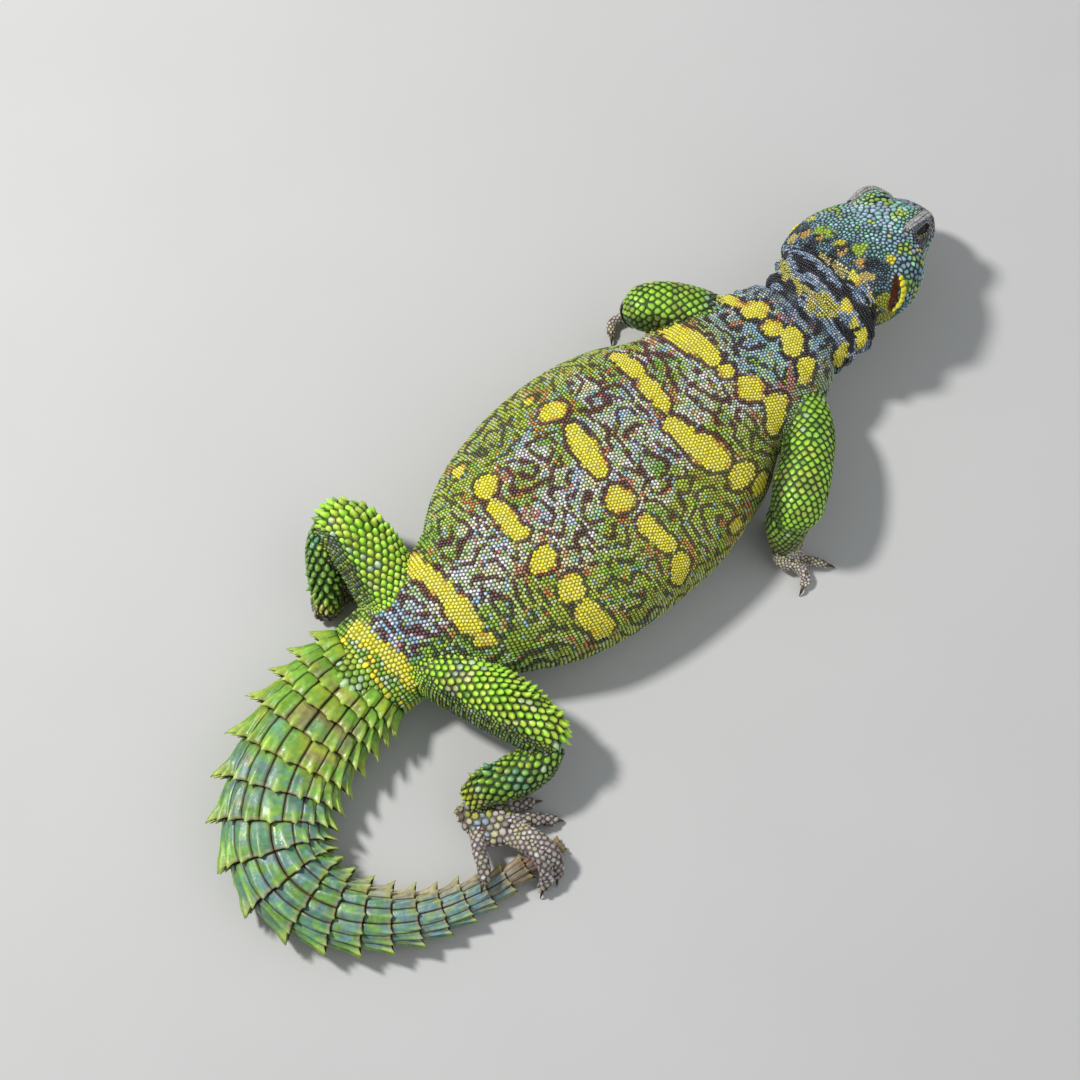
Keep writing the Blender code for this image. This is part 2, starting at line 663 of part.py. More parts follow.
def keep_largest(item):
    """Drops every loose scrap but the largest closed surface."""
    shape = bmesh.new()
    shape.from_mesh(item.data)
    left, groups = set(shape.faces), []
    while left:
        reached = {left.pop()}
        edge = list(reached)
        while edge:
            face = edge.pop()
            for loop in face.loops:
                for other in loop.vert.link_faces:
                    if other in left:
                        left.discard(other)
                        reached.add(other)
                        edge.append(other)
        groups.append(reached)
    groups.sort(key=lambda group: -sum(face.calc_area() for face in group))
    scraps = [face for group in groups[1:] for face in group]
    bmesh.ops.delete(shape, geom=scraps, context="FACES")
    loose = [vertex for vertex in shape.verts if not vertex.link_faces]
    bmesh.ops.delete(shape, geom=loose, context="VERTS")
    shape.to_mesh(item.data)
    shape.free()


def grown_solid(name):
    """A copy of a neighbour that is larger by the gap, to trim what meets it."""
    if name == "torso":
        return object_of("grown", trunk_rings(GAP))
    return object_of("grown", tube_rings(LIMBS[name], LIMB_RINGS, LIMB_SIDES, GAP, floor=False))


def spikes(stations, start, end, count, rows):
    """Small cones on a limb, with their roots sunk in it and their points leaning to its far end."""
    middles = smooth_rows(stations, 40)
    tangents, across, upward = frames_along(middles)
    made = []
    for number, angle in enumerate(rows):
        for step in range(count):
            share = start + (end - start) * (step + 0.5 * (number % 2)) / count
            at = round(share * 39)
            turn = math.radians(angle)
            outward = math.cos(turn) * across[at] + math.sin(turn) * upward[at]
            foot = middles[at, :3] + outward * (middles[at, 3] - 1.0)
            lean = outward + 0.55 * tangents[at]
            lean /= np.linalg.norm(lean)
            tip = foot + lean * (1.0 + SPIKE_LENGTH)
            ends = [(*foot, SPIKE_RADIUS * 1.2, SPIKE_RADIUS * 1.2), (*tip, 0.12, 0.12)]
            made.append(object_of("spike", tube_rings(ends, 2, 5, floor=False)))
    return made


def build_limbs():
    for name, stations in LIMBS.items():
        limb = object_of(name, tube_rings(stations, LIMB_RINGS, LIMB_SIDES))
        if name in SPIKES:
            join(limb, spikes(stations, *SPIKES[name]))
        cut(limb, [grown_solid(other) for other in TRIMMED_BY[name]])
        keep_largest(limb)
    for name, spec in FEET.items():
        foot = build_foot(name, spec)
        cut(foot, [grown_solid(spec["meets"])])
        keep_largest(foot)


def paint():
    """One plain material for each kind of part."""
    kinds = {"head": "head", "neck": "neck", "torso": "torso", "tail": "tail", "eye": "eye"}
    kinds.update({"foot": "foot", "hand": "foot"})
    made = {}
    for item in animal.objects:
        kind = kinds.get(item.name.split("_")[0], "limb")
        if kind not in made:
            material = bpy.data.materials.new(kind)
            material.use_nodes = True
            shader = material.node_tree.nodes["Principled BSDF"]
            shader.inputs["Base Color"].default_value = (*COLOURS[kind], 1)
            shader.inputs["Roughness"].default_value = 0.15 if kind == "eye" else 0.55
            shader.inputs["Metallic"].default_value = 0.0
            made[kind] = material
        item.data.materials.clear()
        item.data.materials.append(made[kind])
        item.data.shade_smooth()
        item.data.set_sharp_from_angle(angle=math.radians(50))


def main():
    build_head()
    object_of("neck", neck_rings())
    object_of("torso", trunk_rings())
    build_tail()
    build_limbs()
    paint()


for old in list(bpy.data.objects):
    bpy.data.objects.remove(old)
animal = bpy.data.collections.new("uromastyx")
bpy.context.scene.collection.children.link(animal)
main()
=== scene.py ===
"""The looks of a life-size ornate mastigure (uromastyx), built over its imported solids.

Lengths are in millimetres until a mesh is made. One closed skin lies just inside the solids, and every
scale, scute, spine and claw is solid mesh over it. Forms are tubes: a run along a curved line and an angle
round it, where angle 0 is the right side and a quarter turn is the top. Markings are worked out once for
each scale, from its place on the body: s along the trunk from the origin, and t round it from the top line.
"""

import math

import bpy
import numpy as np
from mathutils import Matrix, Quaternion, Vector
from mathutils.bvhtree import BVHTree
from mathutils.kdtree import KDTree


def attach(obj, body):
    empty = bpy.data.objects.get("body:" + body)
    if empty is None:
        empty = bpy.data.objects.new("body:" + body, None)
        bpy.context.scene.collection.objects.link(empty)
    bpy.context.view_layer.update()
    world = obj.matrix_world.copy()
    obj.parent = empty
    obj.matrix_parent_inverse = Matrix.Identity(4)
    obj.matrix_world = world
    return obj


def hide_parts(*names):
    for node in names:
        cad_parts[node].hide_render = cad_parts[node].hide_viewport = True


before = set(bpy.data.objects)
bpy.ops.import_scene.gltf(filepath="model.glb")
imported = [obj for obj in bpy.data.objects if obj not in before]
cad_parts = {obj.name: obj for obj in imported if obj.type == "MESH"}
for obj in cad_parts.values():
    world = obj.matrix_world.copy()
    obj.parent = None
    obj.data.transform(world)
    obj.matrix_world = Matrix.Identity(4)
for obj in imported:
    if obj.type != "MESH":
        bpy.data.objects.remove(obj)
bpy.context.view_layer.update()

MM = 0.001
UP = np.array((0.0, 0.0, 1.0))
QUARTER = math.pi / 2
SEED = 11
# Gap between neighbouring solids, depth of the skin inside their surface, and the scales' lowest level
GAP = 0.3
COAT = 0.35
FLOOR_CLEARANCE = 0.03

# Stations of the body's forms, as the solids have them.
# Trunk: x, y, height of the widest level, half width, height above it, depth below it
TRUNK = [
    (-71.0, 0.4, 9.8, 13.6, 9.2, 9.8),
    (-64.5, 0.4, 10.6, 14.0, 10.6, 10.7),
    (-56.5, 0.0, 11.4, 15.4, 13.0, 11.6),
    (-47.5, -1.0, 12.0, 17.6, 15.2, 12.3),
    (-40.0, -2.2, 12.5, 22.4, 17.0, 12.9),
    (-29.0, -2.8, 13.0, 28.6, 18.6, 13.5),
    (-15.5, -2.6, 13.0, 32.3, 19.6, 13.6),
    (0.0, -2.0, 13.0, 33.6, 20.0, 13.6),
    (15.5, -2.3, 13.0, 32.2, 19.6, 13.6),
    (28.5, -2.4, 13.2, 27.8, 18.4, 13.7),
    (39.0, -1.6, 13.6, 23.0, 16.6, 13.8),
    (50.0, -1.8, 14.4, 20.2, 14.6, 13.6),
    (58.0, -1.6, 15.4, 18.8, 13.2, 12.6),
    (65.0, -1.2, 16.8, 16.6, 11.8, 11.4),
]
TRUNK_START = TRUNK[0][0]
# Exponents of the sections' outlines, above and below: 2 gives an ellipse, and more a squarer form
BACK_SHAPE = 2.15
BELLY_SHAPE = 2.7

# The head's own frame: its origin between the ears, and its turns in degrees
HEAD_ORIGIN = (87.6, 1.6, 21.6)
HEAD_YAW = 1.0
HEAD_PITCH = -15.0
HEAD_ROLL = -27.5
# Head: distance ahead of the ears, half width, height above and depth below the mid level
HEAD = [
    (-9.0, 16.4, 9.6, 12.2),
    (-5.0, 17.8, 10.2, 12.8),
    (-0.5, 18.4, 10.5, 13.0),
    (4.0, 17.9, 10.6, 12.8),
    (8.0, 16.4, 10.5, 12.0),
    (11.8, 13.8, 10.1, 10.8),
    (15.4, 11.0, 9.2, 9.8),
    (19.0, 9.0, 7.6, 8.9),
    (22.2, 7.5, 5.6, 8.0),
    (24.8, 6.0, 3.6, 7.2),
    (26.8, 3.8, 1.2, 6.0),
]
HEAD_TOP_SHAPE = 2.3
HEAD_LOW_SHAPE = 2.7
MOUTH_LEVEL = -3.4
MOUTH_CORNER = 8.0
# Features of the head's left side, in its frame: places, half sizes and stations
EYE = (15.6, 7.4, 4.6)
EYE_RADIUS = 3.6
LID_HALF_SIZES = (4.7, 4.15, 4.1)
LID_OPENING = (1.95, 1.15)
LID_WAY = (-0.1, 0.88, 0.46)
DOME = (13.6, 5.6, 7.0)
DOME_HALF_SIZES = (6.2, 3.8, 3.5)
BROW = [
    (22.4, 6.3, 3.9, 0.6, 0.6),
    (19.9, 8.0, 6.3, 1.1, 1.0),
    (17.2, 9.0, 7.9, 1.5, 1.1),
    (14.5, 9.3, 8.3, 1.5, 1.1),
    (12.2, 9.2, 8.3, 1.3, 1.0),
    (9.8, 9.6, 8.5, 0.7, 0.6),
]
EAR = (-3.4, 17.7, 0.9)
EAR_HALF_SIZES = (1.5, 3.0, 4.6)
EAR_SLANT = math.radians(24)
EAR_FRINGE = [
    (-4.3, 17.4, -3.8, 0.7, 0.7),
    (-2.5, 18.6, -1.3, 1.1, 1.0),
    (-1.2, 18.4, 1.8, 1.1, 1.0),
    (-0.3, 16.6, 5.0, 0.7, 0.7),
]
NOSTRIL = (24.2, 4.9, 1.4)
NOSTRIL_RADIUS = 0.8

# Half width of the neck at shares of its length, its bend to the side, and its folds
NECK_WIDTHS = [(0.0, 16.6), (0.22, 15.6), (0.45, 16.4), (0.7, 17.2), (0.88, 17.0), (1.0, 16.4)]
NECK_BEND = -2.6
NECK_FOLDS = 3
NECK_FOLD_DEPTH = 0.7

# Tail: columns as the trunk's
TAIL = [
    (-71.0, 0.4, 9.8, 13.6, 9.2, 9.8),
    (-78.0, 0.4, 9.3, 13.8, 9.0, 9.3),
    (-85.5, -0.6, 8.8, 13.9, 8.7, 8.8),
    (-93.8, -2.6, 8.4, 13.9, 8.4, 8.4),
    (-102.4, -6.0, 8.0, 13.5, 8.1, 8.0),
    (-110.4, -11.6, 7.7, 12.9, 7.8, 7.7),
    (-115.9, -18.6, 7.4, 11.9, 7.5, 7.4),
    (-117.9, -26.6, 7.0, 10.9, 7.1, 7.0),
    (-116.4, -34.6, 6.5, 9.6, 6.6, 6.5),
    (-112.6, -41.6, 6.0, 8.3, 6.1, 6.0),
    (-107.3, -47.6, 5.5, 7.1, 5.5, 5.5),
    (-101.0, -52.4, 4.9, 6.0, 4.9, 4.9),
    (-94.2, -55.8, 4.3, 5.0, 4.3, 4.3),
    (-87.2, -58.0, 3.7, 4.1, 3.7, 3.7),
    (-80.2, -59.6, 3.1, 3.2, 3.0, 3.1),
    (-73.6, -60.4, 2.5, 2.4, 2.3, 2.5),
    (-67.4, -61.2, 1.9, 1.7, 1.6, 1.9),
    (-62.0, -61.7, 1.3, 1.0, 1.0, 1.3),
]
# Lengths of the tail's rings of scutes in proportion, and how many scutes each ring has
WHORL_LENGTHS = [4.4, 4.8, 5.6, 7.0] + [8.4 - 0.19 * k for k in range(17)]
WHORL_SCUTES = [24] * 4 + [22] * 3 + [20] * 4 + [18] * 3 + [16] * 3 + [12] * 2 + [10] * 2
# How much narrower the scutes at the sides are than the mean, and how far the rings bow back on top
SIDE_NARROWING = 0.15
RING_BOW = 2.4

# Limb stations: x, y, z, half width, half height, from the root
LIMBS = {
    "thigh_left": [
        (-56.0, 5.0, 13.5, 8.4, 7.8),
        (-54.6, 14.0, 15.5, 8.8, 8.0),
        (-53.4, 22.0, 17.6, 8.6, 7.8),
        (-53.4, 29.0, 18.8, 7.6, 7.0),
        (-55.4, 33.8, 18.6, 5.8, 5.6),
        (-57.0, 36.2, 18.0, 3.2, 3.2),
    ],
    "shank_left": [
        (-56.6, 33.0, 17.0, 4.6, 4.8),
        (-59.8, 31.4, 15.0, 4.9, 5.2),
        (-63.6, 27.2, 12.0, 4.7, 5.0),
        (-66.8, 22.6, 8.6, 4.1, 4.2),
        (-69.0, 20.0, 5.8, 3.4, 3.4),
    ],
    "thigh_right": [
        (-58.4, -4.0, 13.0, 7.4, 7.2),
        (-57.6, -13.0, 14.6, 7.6, 7.4),
        (-54.6, -21.6, 16.0, 7.8, 7.6),
        (-51.6, -29.6, 16.8, 7.9, 7.6),
        (-49.6, -36.4, 16.8, 6.9, 6.8),
        (-48.2, -41.4, 16.2, 5.4, 5.6),
        (-48.0, -44.0, 15.4, 3.2, 3.2),
    ],
    "shank_right": [
        (-49.0, -41.8, 14.0, 4.8, 5.0),
        (-54.0, -43.6, 12.8, 5.5, 5.2),
        (-61.4, -42.6, 11.0, 5.6, 5.2),
        (-68.0, -40.0, 8.8, 4.6, 4.3),
        (-72.4, -39.6, 6.8, 3.7, 3.5),
    ],
    "upper_arm_left": [
        (55.0, 6.0, 15.0, 5.0, 5.4),
        (52.6, 14.0, 17.0, 5.6, 5.8),
        (48.0, 20.0, 18.8, 6.3, 6.2),
        (42.4, 25.2, 19.2, 6.4, 6.2),
        (38.0, 28.2, 18.4, 5.2, 5.2),
        (36.4, 29.4, 17.8, 3.0, 3.0),
    ],
    "forearm_left": [
        (38.6, 27.6, 16.6, 4.6, 4.6),
        (40.2, 28.8, 13.6, 4.6, 4.6),
        (42.2, 29.4, 10.0, 3.8, 3.8),
        (43.8, 29.4, 6.4, 3.0, 3.0),
    ],
    "upper_arm_right": [
        (56.0, -9.0, 14.6, 6.2, 6.2),
        (54.6, -17.4, 16.6, 5.8, 6.0),
        (50.8, -24.0, 18.6, 6.4, 6.3),
        (44.4, -30.0, 19.8, 6.9, 6.7),
        (38.0, -34.8, 19.6, 7.1, 6.8),
        (33.4, -38.6, 18.2, 6.0, 5.8),
        (31.2, -40.2, 17.0, 3.6, 3.6),
    ],
    "forearm_right": [
        (35.2, -36.4, 16.6, 5.6, 5.4),
        (32.2, -37.8, 13.4, 5.8, 5.4),
        (30.4, -39.4, 10.0, 4.9, 4.6),
        (29.2, -40.8, 6.6, 3.6, 3.4),
    ],
}
# Feet: palm stations as the limbs', then the toes' centre lines from the root to the base of the claw
FEET = {
    "foot_left": {
        "palm": [
            (-69.6, 19.6, 5.0, 3.2, 2.8),
            (-68.4, 21.4, 3.6, 4.0, 2.6),
            (-65.4, 24.0, 3.0, 4.8, 2.4),
            (-61.6, 25.6, 2.6, 4.6, 2.0),
        ],
        "toes": [
            [(-64.0, 20.8, 2.4), (-60.4, 19.2, 2.2), (-57.4, 18.9, 1.2)],
            [(-62.4, 22.8, 2.4), (-57.0, 21.8, 2.6), (-52.6, 22.2, 1.2)],
            [(-61.8, 24.8, 2.4), (-55.4, 24.8, 2.8), (-50.0, 25.6, 1.2)],
            [(-61.8, 26.6, 2.4), (-56.0, 28.2, 2.9), (-51.4, 29.4, 1.2)],
            [(-65.4, 26.6, 2.4), (-62.6, 29.6, 2.4), (-59.4, 31.0, 1.2)],
        ],
    },
    "foot_right": {
        "palm": [
            (-73.4, -39.6, 6.0, 3.4, 3.0),
            (-73.8, -43.2, 5.0, 4.2, 3.2),
            (-72.0, -47.8, 5.0, 5.2, 3.0),
            (-69.8, -51.2, 5.8, 3.8, 2.2),
        ],
        "toes": [
            [(-69.2, -45.8, 4.6), (-64.4, -47.4, 3.6), (-60.4, -49.4, 1.4)],
            [(-68.6, -49.4, 5.2), (-63.6, -52.6, 4.4), (-59.2, -56.2, 1.4)],
            [(-68.4, -51.6, 5.8), (-65.8, -57.0, 7.8), (-65.0, -61.8, 8.0), (-66.0, -65.4, 4.6),
             (-67.4, -67.0, 1.5)],
            [(-71.0, -52.0, 5.8), (-69.2, -57.4, 8.2), (-68.6, -62.0, 8.6), (-69.8, -65.8, 5.0),
             (-72.0, -67.2, 1.6)],
            [(-75.4, -45.6, 5.0), (-78.4, -50.6, 8.4), (-81.2, -56.0, 10.2), (-83.0, -57.6, 10.2)],
        ],
    },
    "hand_left": {
        "palm": [(44.0, 29.4, 5.4, 2.9, 2.8), (44.8, 29.6, 3.6, 3.6, 2.6), (46.8, 30.0, 2.6, 4.0, 2.0)],
        "toes": [
            [(45.2, 27.6, 2.2), (48.4, 25.4, 2.2), (50.8, 24.4, 1.2)],
            [(47.2, 28.8, 2.2), (50.6, 28.0, 2.4), (53.0, 27.8, 1.2)],
            [(47.4, 30.2, 2.2), (50.6, 30.6, 2.5), (53.4, 30.6, 1.2)],
            [(46.2, 31.2, 2.2), (48.2, 32.0, 2.2), (49.8, 32.6, 1.2)],
            [(43.2, 30.6, 2.4), (38.8, 32.8, 2.4), (35.4, 33.2, 2.0), (33.6, 31.0, 1.3)],
        ],
    },
    "hand_right": {
        "palm": [(29.0, -41.0, 5.6, 3.3, 3.1), (29.0, -42.4, 3.9, 4.0, 2.8), (29.6, -44.8, 2.6, 3.8, 2.1)],
        "toes": [
            [(29.0, -41.4, 2.2), (29.8, -37.4, 2.2), (31.2, -34.6, 1.2)],
            [(30.6, -41.8, 2.2), (33.0, -38.2, 2.2), (35.2, -35.4, 1.2)],
            [(31.4, -43.2, 2.3), (34.8, -41.0, 2.4), (37.4, -38.8, 1.2)],
            [(30.4, -44.6, 2.3), (33.2, -48.2, 2.6), (35.2, -50.6, 1.3)],
            [(28.6, -45.2, 2.4), (29.2, -48.6, 2.6), (28.8, -50.4, 1.9), (27.2, -51.2, 1.3)],
        ],
    },
}
TOE_RADIUS = 1.5
TOE_TIP_RADIUS = 1.2
CLAW_LENGTH = 2.5
CLAW_DROP = 1.2
FOOT_TOE_EXTRA = 0.35


def hermite(t, start, leave, end, arrive):
    """A cubic curve between two places, with a slope at each."""
    return (
        start * (2 * t**3 - 3 * t**2 + 1)
        + leave * (t**3 - 2 * t**2 + t)
        + end * (3 * t**2 - 2 * t**3)
        + arrive * (t**3 - t**2)
    )


def curve_at(rows, place, wanted):
    """A smooth curve through rows at the given places, with finite-difference slopes."""
    slopes = np.gradient(rows, place, axis=0)
    at = np.clip(np.searchsorted(place, wanted, side="right") - 1, 0, len(place) - 2)
    span = (place[at + 1] - place[at])[:, None]
    t = (wanted[:, None] - place[at][:, None]) / span
    return hermite(t, rows[at], slopes[at] * span, rows[at + 1], slopes[at + 1] * span)


def smooth_rows(stations, count):
    """Station rows resampled evenly along their first three columns."""
    rows = np.array(stations, float)
    steps = np.linalg.norm(np.diff(rows[:, :3], axis=0), axis=1)
    place = np.concatenate([[0], np.cumsum(steps)])
    return curve_at(rows, place, np.linspace(0, place[-1], count))


def unit(vectors):
    return vectors / np.maximum(np.linalg.norm(vectors, axis=-1, keepdims=True), 1e-9)


def power(value, shape):
    return np.sign(value) * np.abs(value) ** (2 / shape)


def soft_step(low, high, value):
    t = np.clip((value - low) / (high - low), 0, 1)
    return t * t * (3 - 2 * t)


def bump(value, centre, width):
    return np.exp(-(((value - centre) / width) ** 2))


def looked_up(table, value):
    """What a table of pairs gives for a value, evenly between its rows."""
    return np.interp(value, *zip(*table))


class Tube:
    """Closed sections along a curved line. Sizes are half width, height above and depth below."""

    def __init__(self, middles, sides, ups, sizes, shapes=(2.1, 2.1)):
        self.middles = np.asarray(middles, float)
        self.sides = np.asarray(sides, float)
        self.ups = np.asarray(ups, float)
        self.sizes = np.asarray(sizes, float)
        self.shapes = shapes
        steps = np.linalg.norm(np.diff(self.middles, axis=0), axis=1)
        self.run = np.concatenate([[0], np.cumsum(steps)])
        self.length = self.run[-1]
        self.relief = None

    def mixed(self, values, run):
        return np.stack([np.interp(run, self.run, values[:, k]) for k in range(values.shape[1])], -1)

    def at(self, run, angle, grown=0.0):
        """Points at arrays of run and angle, with the section made larger by grown."""
        run, angle = np.broadcast_arrays(np.asarray(run, float), np.asarray(angle, float))
        size = self.mixed(self.sizes, run)
        if self.relief:
            grown = grown + self.relief(run, angle)
        across, upward = np.cos(angle), np.sin(angle)
        over = upward >= 0
        shape = np.where(over, self.shapes[0], self.shapes[1])
        x = power(across, shape) * np.maximum(size[..., 0] + grown, 0.05)
        y = power(upward, shape) * np.maximum(np.where(over, size[..., 1], size[..., 2]) + grown, 0.05)
        side, up = self.mixed(self.sides, run), self.mixed(self.ups, run)
        return self.mixed(self.middles, run) + x[..., None] * side + y[..., None] * up

    def forward(self, run):
        nearby = self.mixed(self.middles, run + 0.4) - self.mixed(self.middles, run - 0.4)
        return unit(nearby)

    def rings(self, step, count, grown=0.0, floor=COAT):
        """Closed rings for a loft, with their points kept off the floor."""
        runs = np.linspace(0, self.length, max(3, round(self.length / step) + 1))
        angles = np.linspace(0, math.tau, count, endpoint=False)
        points = self.at(runs[:, None], angles[None, :], grown)
        points[..., 2] = np.maximum(points[..., 2], floor)
        return points


def level_tube(rows, shapes, level=False):
    """A tube from rows of centre and sizes, with two or three size columns.

    The sections of a level tube stand upright, however its line rises.
    """
    tangents = np.gradient(rows[:, :3], axis=0)
    if level:
        tangents[:, 2] = 0
    tangents = unit(tangents)
    sides = unit(np.cross(tangents, UP))
    sizes = rows[:, 3:] if rows.shape[1] > 5 else rows[:, [3, 4, 4]]
    return Tube(rows[:, :3], sides, np.cross(sides, tangents), sizes, shapes)


def head_turn():
    yaw = Quaternion((0, 0, 1), math.radians(HEAD_YAW))
    pitch = Quaternion((0, 1, 0), math.radians(-HEAD_PITCH))
    roll = Quaternion((1, 0, 0), math.radians(HEAD_ROLL))
    return yaw @ pitch @ roll


HEAD_AXES = np.array(head_turn().to_matrix())


def from_head(points):
    return np.asarray(points) @ HEAD_AXES.T + HEAD_ORIGIN


def to_head(points):
    return (np.asarray(points) - HEAD_ORIGIN) @ HEAD_AXES


def mirrored(point, side):
    return np.array((point[0], point[1] * side, *point[2:]))


def body_tube():
    """The trunk and the neck as one tube, from the tail's root to just inside the head."""
    rows = smooth_rows(TRUNK, 260)
    trunk = level_tube(rows, (BACK_SHAPE, BELLY_SHAPE), level=True)
    start = rows[-1]
    leave_way = np.cross(trunk.ups[-1], trunk.sides[-1])
    begin = start[:3] + leave_way * GAP
    first = HEAD[0]
    end = from_head((first[0] + 2.0, 0, 0))
    span = np.linalg.norm(end - begin)
    leave, arrive = leave_way * span, HEAD_AXES[:, 0] * span
    turn_from = Matrix(np.stack([leave_way, -trunk.sides[-1], trunk.ups[-1]], 1)).to_quaternion()
    middles, sides, ups, sizes = [], [], [], []
    for t in np.linspace(0, 1, 130)[1:]:
        bend = np.array((0, NECK_BEND * math.sin(math.pi * t), 0))
        middles.append(hermite(t, begin, leave, end, arrive) + bend)
        turned = np.array(turn_from.slerp(head_turn(), t).to_matrix())
        sides.append(-turned[:, 1])
        ups.append(turned[:, 2])
        fold = NECK_FOLD_DEPTH * math.sin(math.pi * t) * math.cos(math.tau * NECK_FOLDS * t)
        size = start[3:6] * (1 - t) + np.array(first[1:4]) * t + fold
        size[0] = looked_up(NECK_WIDTHS, t) + fold
        sizes.append(size)
    made = Tube(
        np.concatenate([trunk.middles, middles]),
        np.concatenate([trunk.sides, sides]),
        np.concatenate([trunk.ups, ups]),
        np.concatenate([trunk.sizes, sizes]),
        (BACK_SHAPE, BELLY_SHAPE),
    )
    made.trunk_end = trunk.length
    return made


def head_tube():
    rows = np.array(HEAD)
    rows = curve_at(rows, rows[:, 0], np.linspace(rows[0, 0], rows[-1, 0], 120))
    nose = HEAD[-1]
    tip = [(nose[0] + 0.75 * math.sin(k * QUARTER / 4), *(v * math.cos(k * QUARTER / 4) for v in nose[1:]))
           for k in (1, 2, 3)]
    rows = np.concatenate([rows, tip])
    middles = from_head(np.stack([rows[:, 0], 0 * rows[:, 0], 0 * rows[:, 0]], 1))
    sides = np.tile(-HEAD_AXES[:, 1], (len(rows), 1))
    ups = np.tile(HEAD_AXES[:, 2], (len(rows), 1))
    return Tube(middles, sides, ups, rows[:, 1:], (HEAD_TOP_SHAPE, HEAD_LOW_SHAPE))


def tail_tube():
    return level_tube(smooth_rows(TAIL, 400), (2.2, 2.5), level=True)


def toe_tube(toe, thicker=0.0):
    radii = np.linspace(TOE_RADIUS, TOE_TIP_RADIUS, len(toe)) + thicker
    return level_tube(smooth_rows([(*p, r, r) for p, r in zip(toe, radii)], 40), (2.1, 2.1))


def limb_tube(stations):
    return level_tube(smooth_rows(stations, 60), (2.1, 2.1))


def body_relief(run, angle):
    """Skin folds: creases across the neck, round the arm's root, and one along each flank."""
    s = run - body.trunk_end
    side = np.cos(angle)
    lateral = np.abs(side)
    wave = 1.3 * np.sin(2.3 * angle + 0.6) + 0.5 * np.sin(5.1 * angle)
    depth = np.zeros(np.shape(run))
    for place, width, deep, lean in NECK_CREASES:
        centre = place + wave * 0.8 + lean * side
        spread_round = 0.35 + 0.65 * lateral + 0.35 * np.maximum(side, 0)
        depth = depth + deep * bump(s, centre, width) * spread_round
    flank = bump(np.sin(angle), -0.25, 0.13) * soft_step(-122, -104, s) * soft_step(-18, -34, s)
    ripples = 0.22 * np.sin(s * 1.15 + 3 * np.sin(3 * angle)) * bump(lateral, 0.95, 0.25)
    ripples = ripples * (bump(s, -24, 9) + bump(s, -116, 7))
    wrinkle = 1.15 * bump(neck_fold(s, angle), 0.0, NECK_WRINKLE) * soft_step(-5, 2, s)
    return -depth - 0.8 * flank + ripples - wrinkle


def neck_fold(s, angle):
    """Noise that runs round the neck in ridges, and is near 0 in the creases between them."""
    place = np.stack([s + 1.4 * np.sin(2 * angle), 14 * np.sin(angle), 14 * np.cos(angle)], -1)
    return noise(place.reshape(-1, 3), np.array((1.9, 9.0, 9.0)), 81).reshape(np.shape(s))


# Half width of the neck's wrinkles, as a value of the noise they follow
NECK_WRINKLE = 0.24
# Neck creases: distance past the trunk's front end, half width, depth, lean from side to side
NECK_CREASES = [
    (-13.5, 0.9, 0.6, 1.0),
    (-7.0, 0.8, 0.7, -1.5),
    (-1.0, 0.9, 1.0, 1.0),
    (4.0, 0.9, 1.5, 2.0),
    (8.2, 0.8, 1.6, -1.0),
    (12.6, 0.8, 1.6, 0.6),
]


POLE_OPENING = 0.02


def ball_rings(centre, half_sizes, axes, origin, count=32):
    """An ellipsoid as rings, in a frame of given axes."""
    around = np.linspace(0, math.tau, count, endpoint=False)
    rows = []
    for k in range(count // 2 + 1):
        polar = np.clip(math.pi * k / (count // 2), POLE_OPENING, math.pi - POLE_OPENING)
        wide = math.sin(polar)
        ring = np.stack([np.full(count, math.cos(polar)), wide * np.cos(around), wide * np.sin(around)], 1)
        rows.append((ring * half_sizes + centre) @ axes.T + origin)
    return np.array(rows)


def faces_of_rings(rings, count, first):
    """Quads of a loft, with a cap at each end as one face. Its points start at the index first."""
    one = first + np.arange(rings - 1)[:, None] * count + np.arange(count)[None, :]
    two = first + np.arange(rings - 1)[:, None] * count + (np.arange(count)[None, :] + 1) % count
    quads = np.stack([one, one + count, two + count, two], -1).reshape(-1, 4)
    start = first + np.arange(count)[None, :]
    end = first + (rings - 1) * count + np.arange(count)[None, ::-1]
    return [quads, start, end]


def joined(lofts):
    """Points and faces of several closed lofts together."""
    points, faces, first = [], [], 0
    for rings in lofts:
        points.append(rings.reshape(-1, 3))
        faces += faces_of_rings(len(rings), rings.shape[1], first)
        first += rings.shape[0] * rings.shape[1]
    return np.concatenate(points), faces


def mesh_of(name, points, faces):
    """A mesh from points in millimetres and arrays of faces."""
    mesh = bpy.data.meshes.new(name)
    loops = np.concatenate([f.ravel() for f in faces]).astype(np.int32)
    sizes = np.concatenate([np.full(len(f), f.shape[1]) for f in faces])
    starts = np.concatenate([[0], np.cumsum(sizes)[:-1]]).astype(np.int32)
    mesh.vertices.add(len(points))
    mesh.vertices.foreach_set("co", (np.asarray(points) * MM).astype(np.float32).ravel())
    mesh.loops.add(len(loops))
    mesh.loops.foreach_set("vertex_index", loops)
    mesh.polygons.add(len(sizes))
    mesh.polygons.foreach_set("loop_start", starts)
    mesh.update(calc_edges=True)
    mesh.shade_smooth()
    return mesh


def object_of(name, mesh):
    item = bpy.data.objects.new(name, mesh)
    bpy.context.scene.collection.objects.link(item)
    return item


def points_of(mesh):
    found = np.empty(len(mesh.vertices) * 3, np.float32)
    mesh.vertices.foreach_get("co", found)
    return found.reshape(-1, 3).astype(float) / MM


def paint_points(mesh, colours):
    """Stores a colour for each vertex."""
    layer = mesh.color_attributes.new("Marking", "FLOAT_COLOR", "POINT")
    rgba = np.ones((len(colours), 4), np.float32)
    rgba[:, :3] = colours
    layer.data.foreach_set("color", rgba.ravel())


def evaluated_mesh(item):
    bpy.context.view_layer.update()
    return bpy.data.meshes.new_from_object(item.evaluated_get(bpy.context.evaluated_depsgraph_get()))


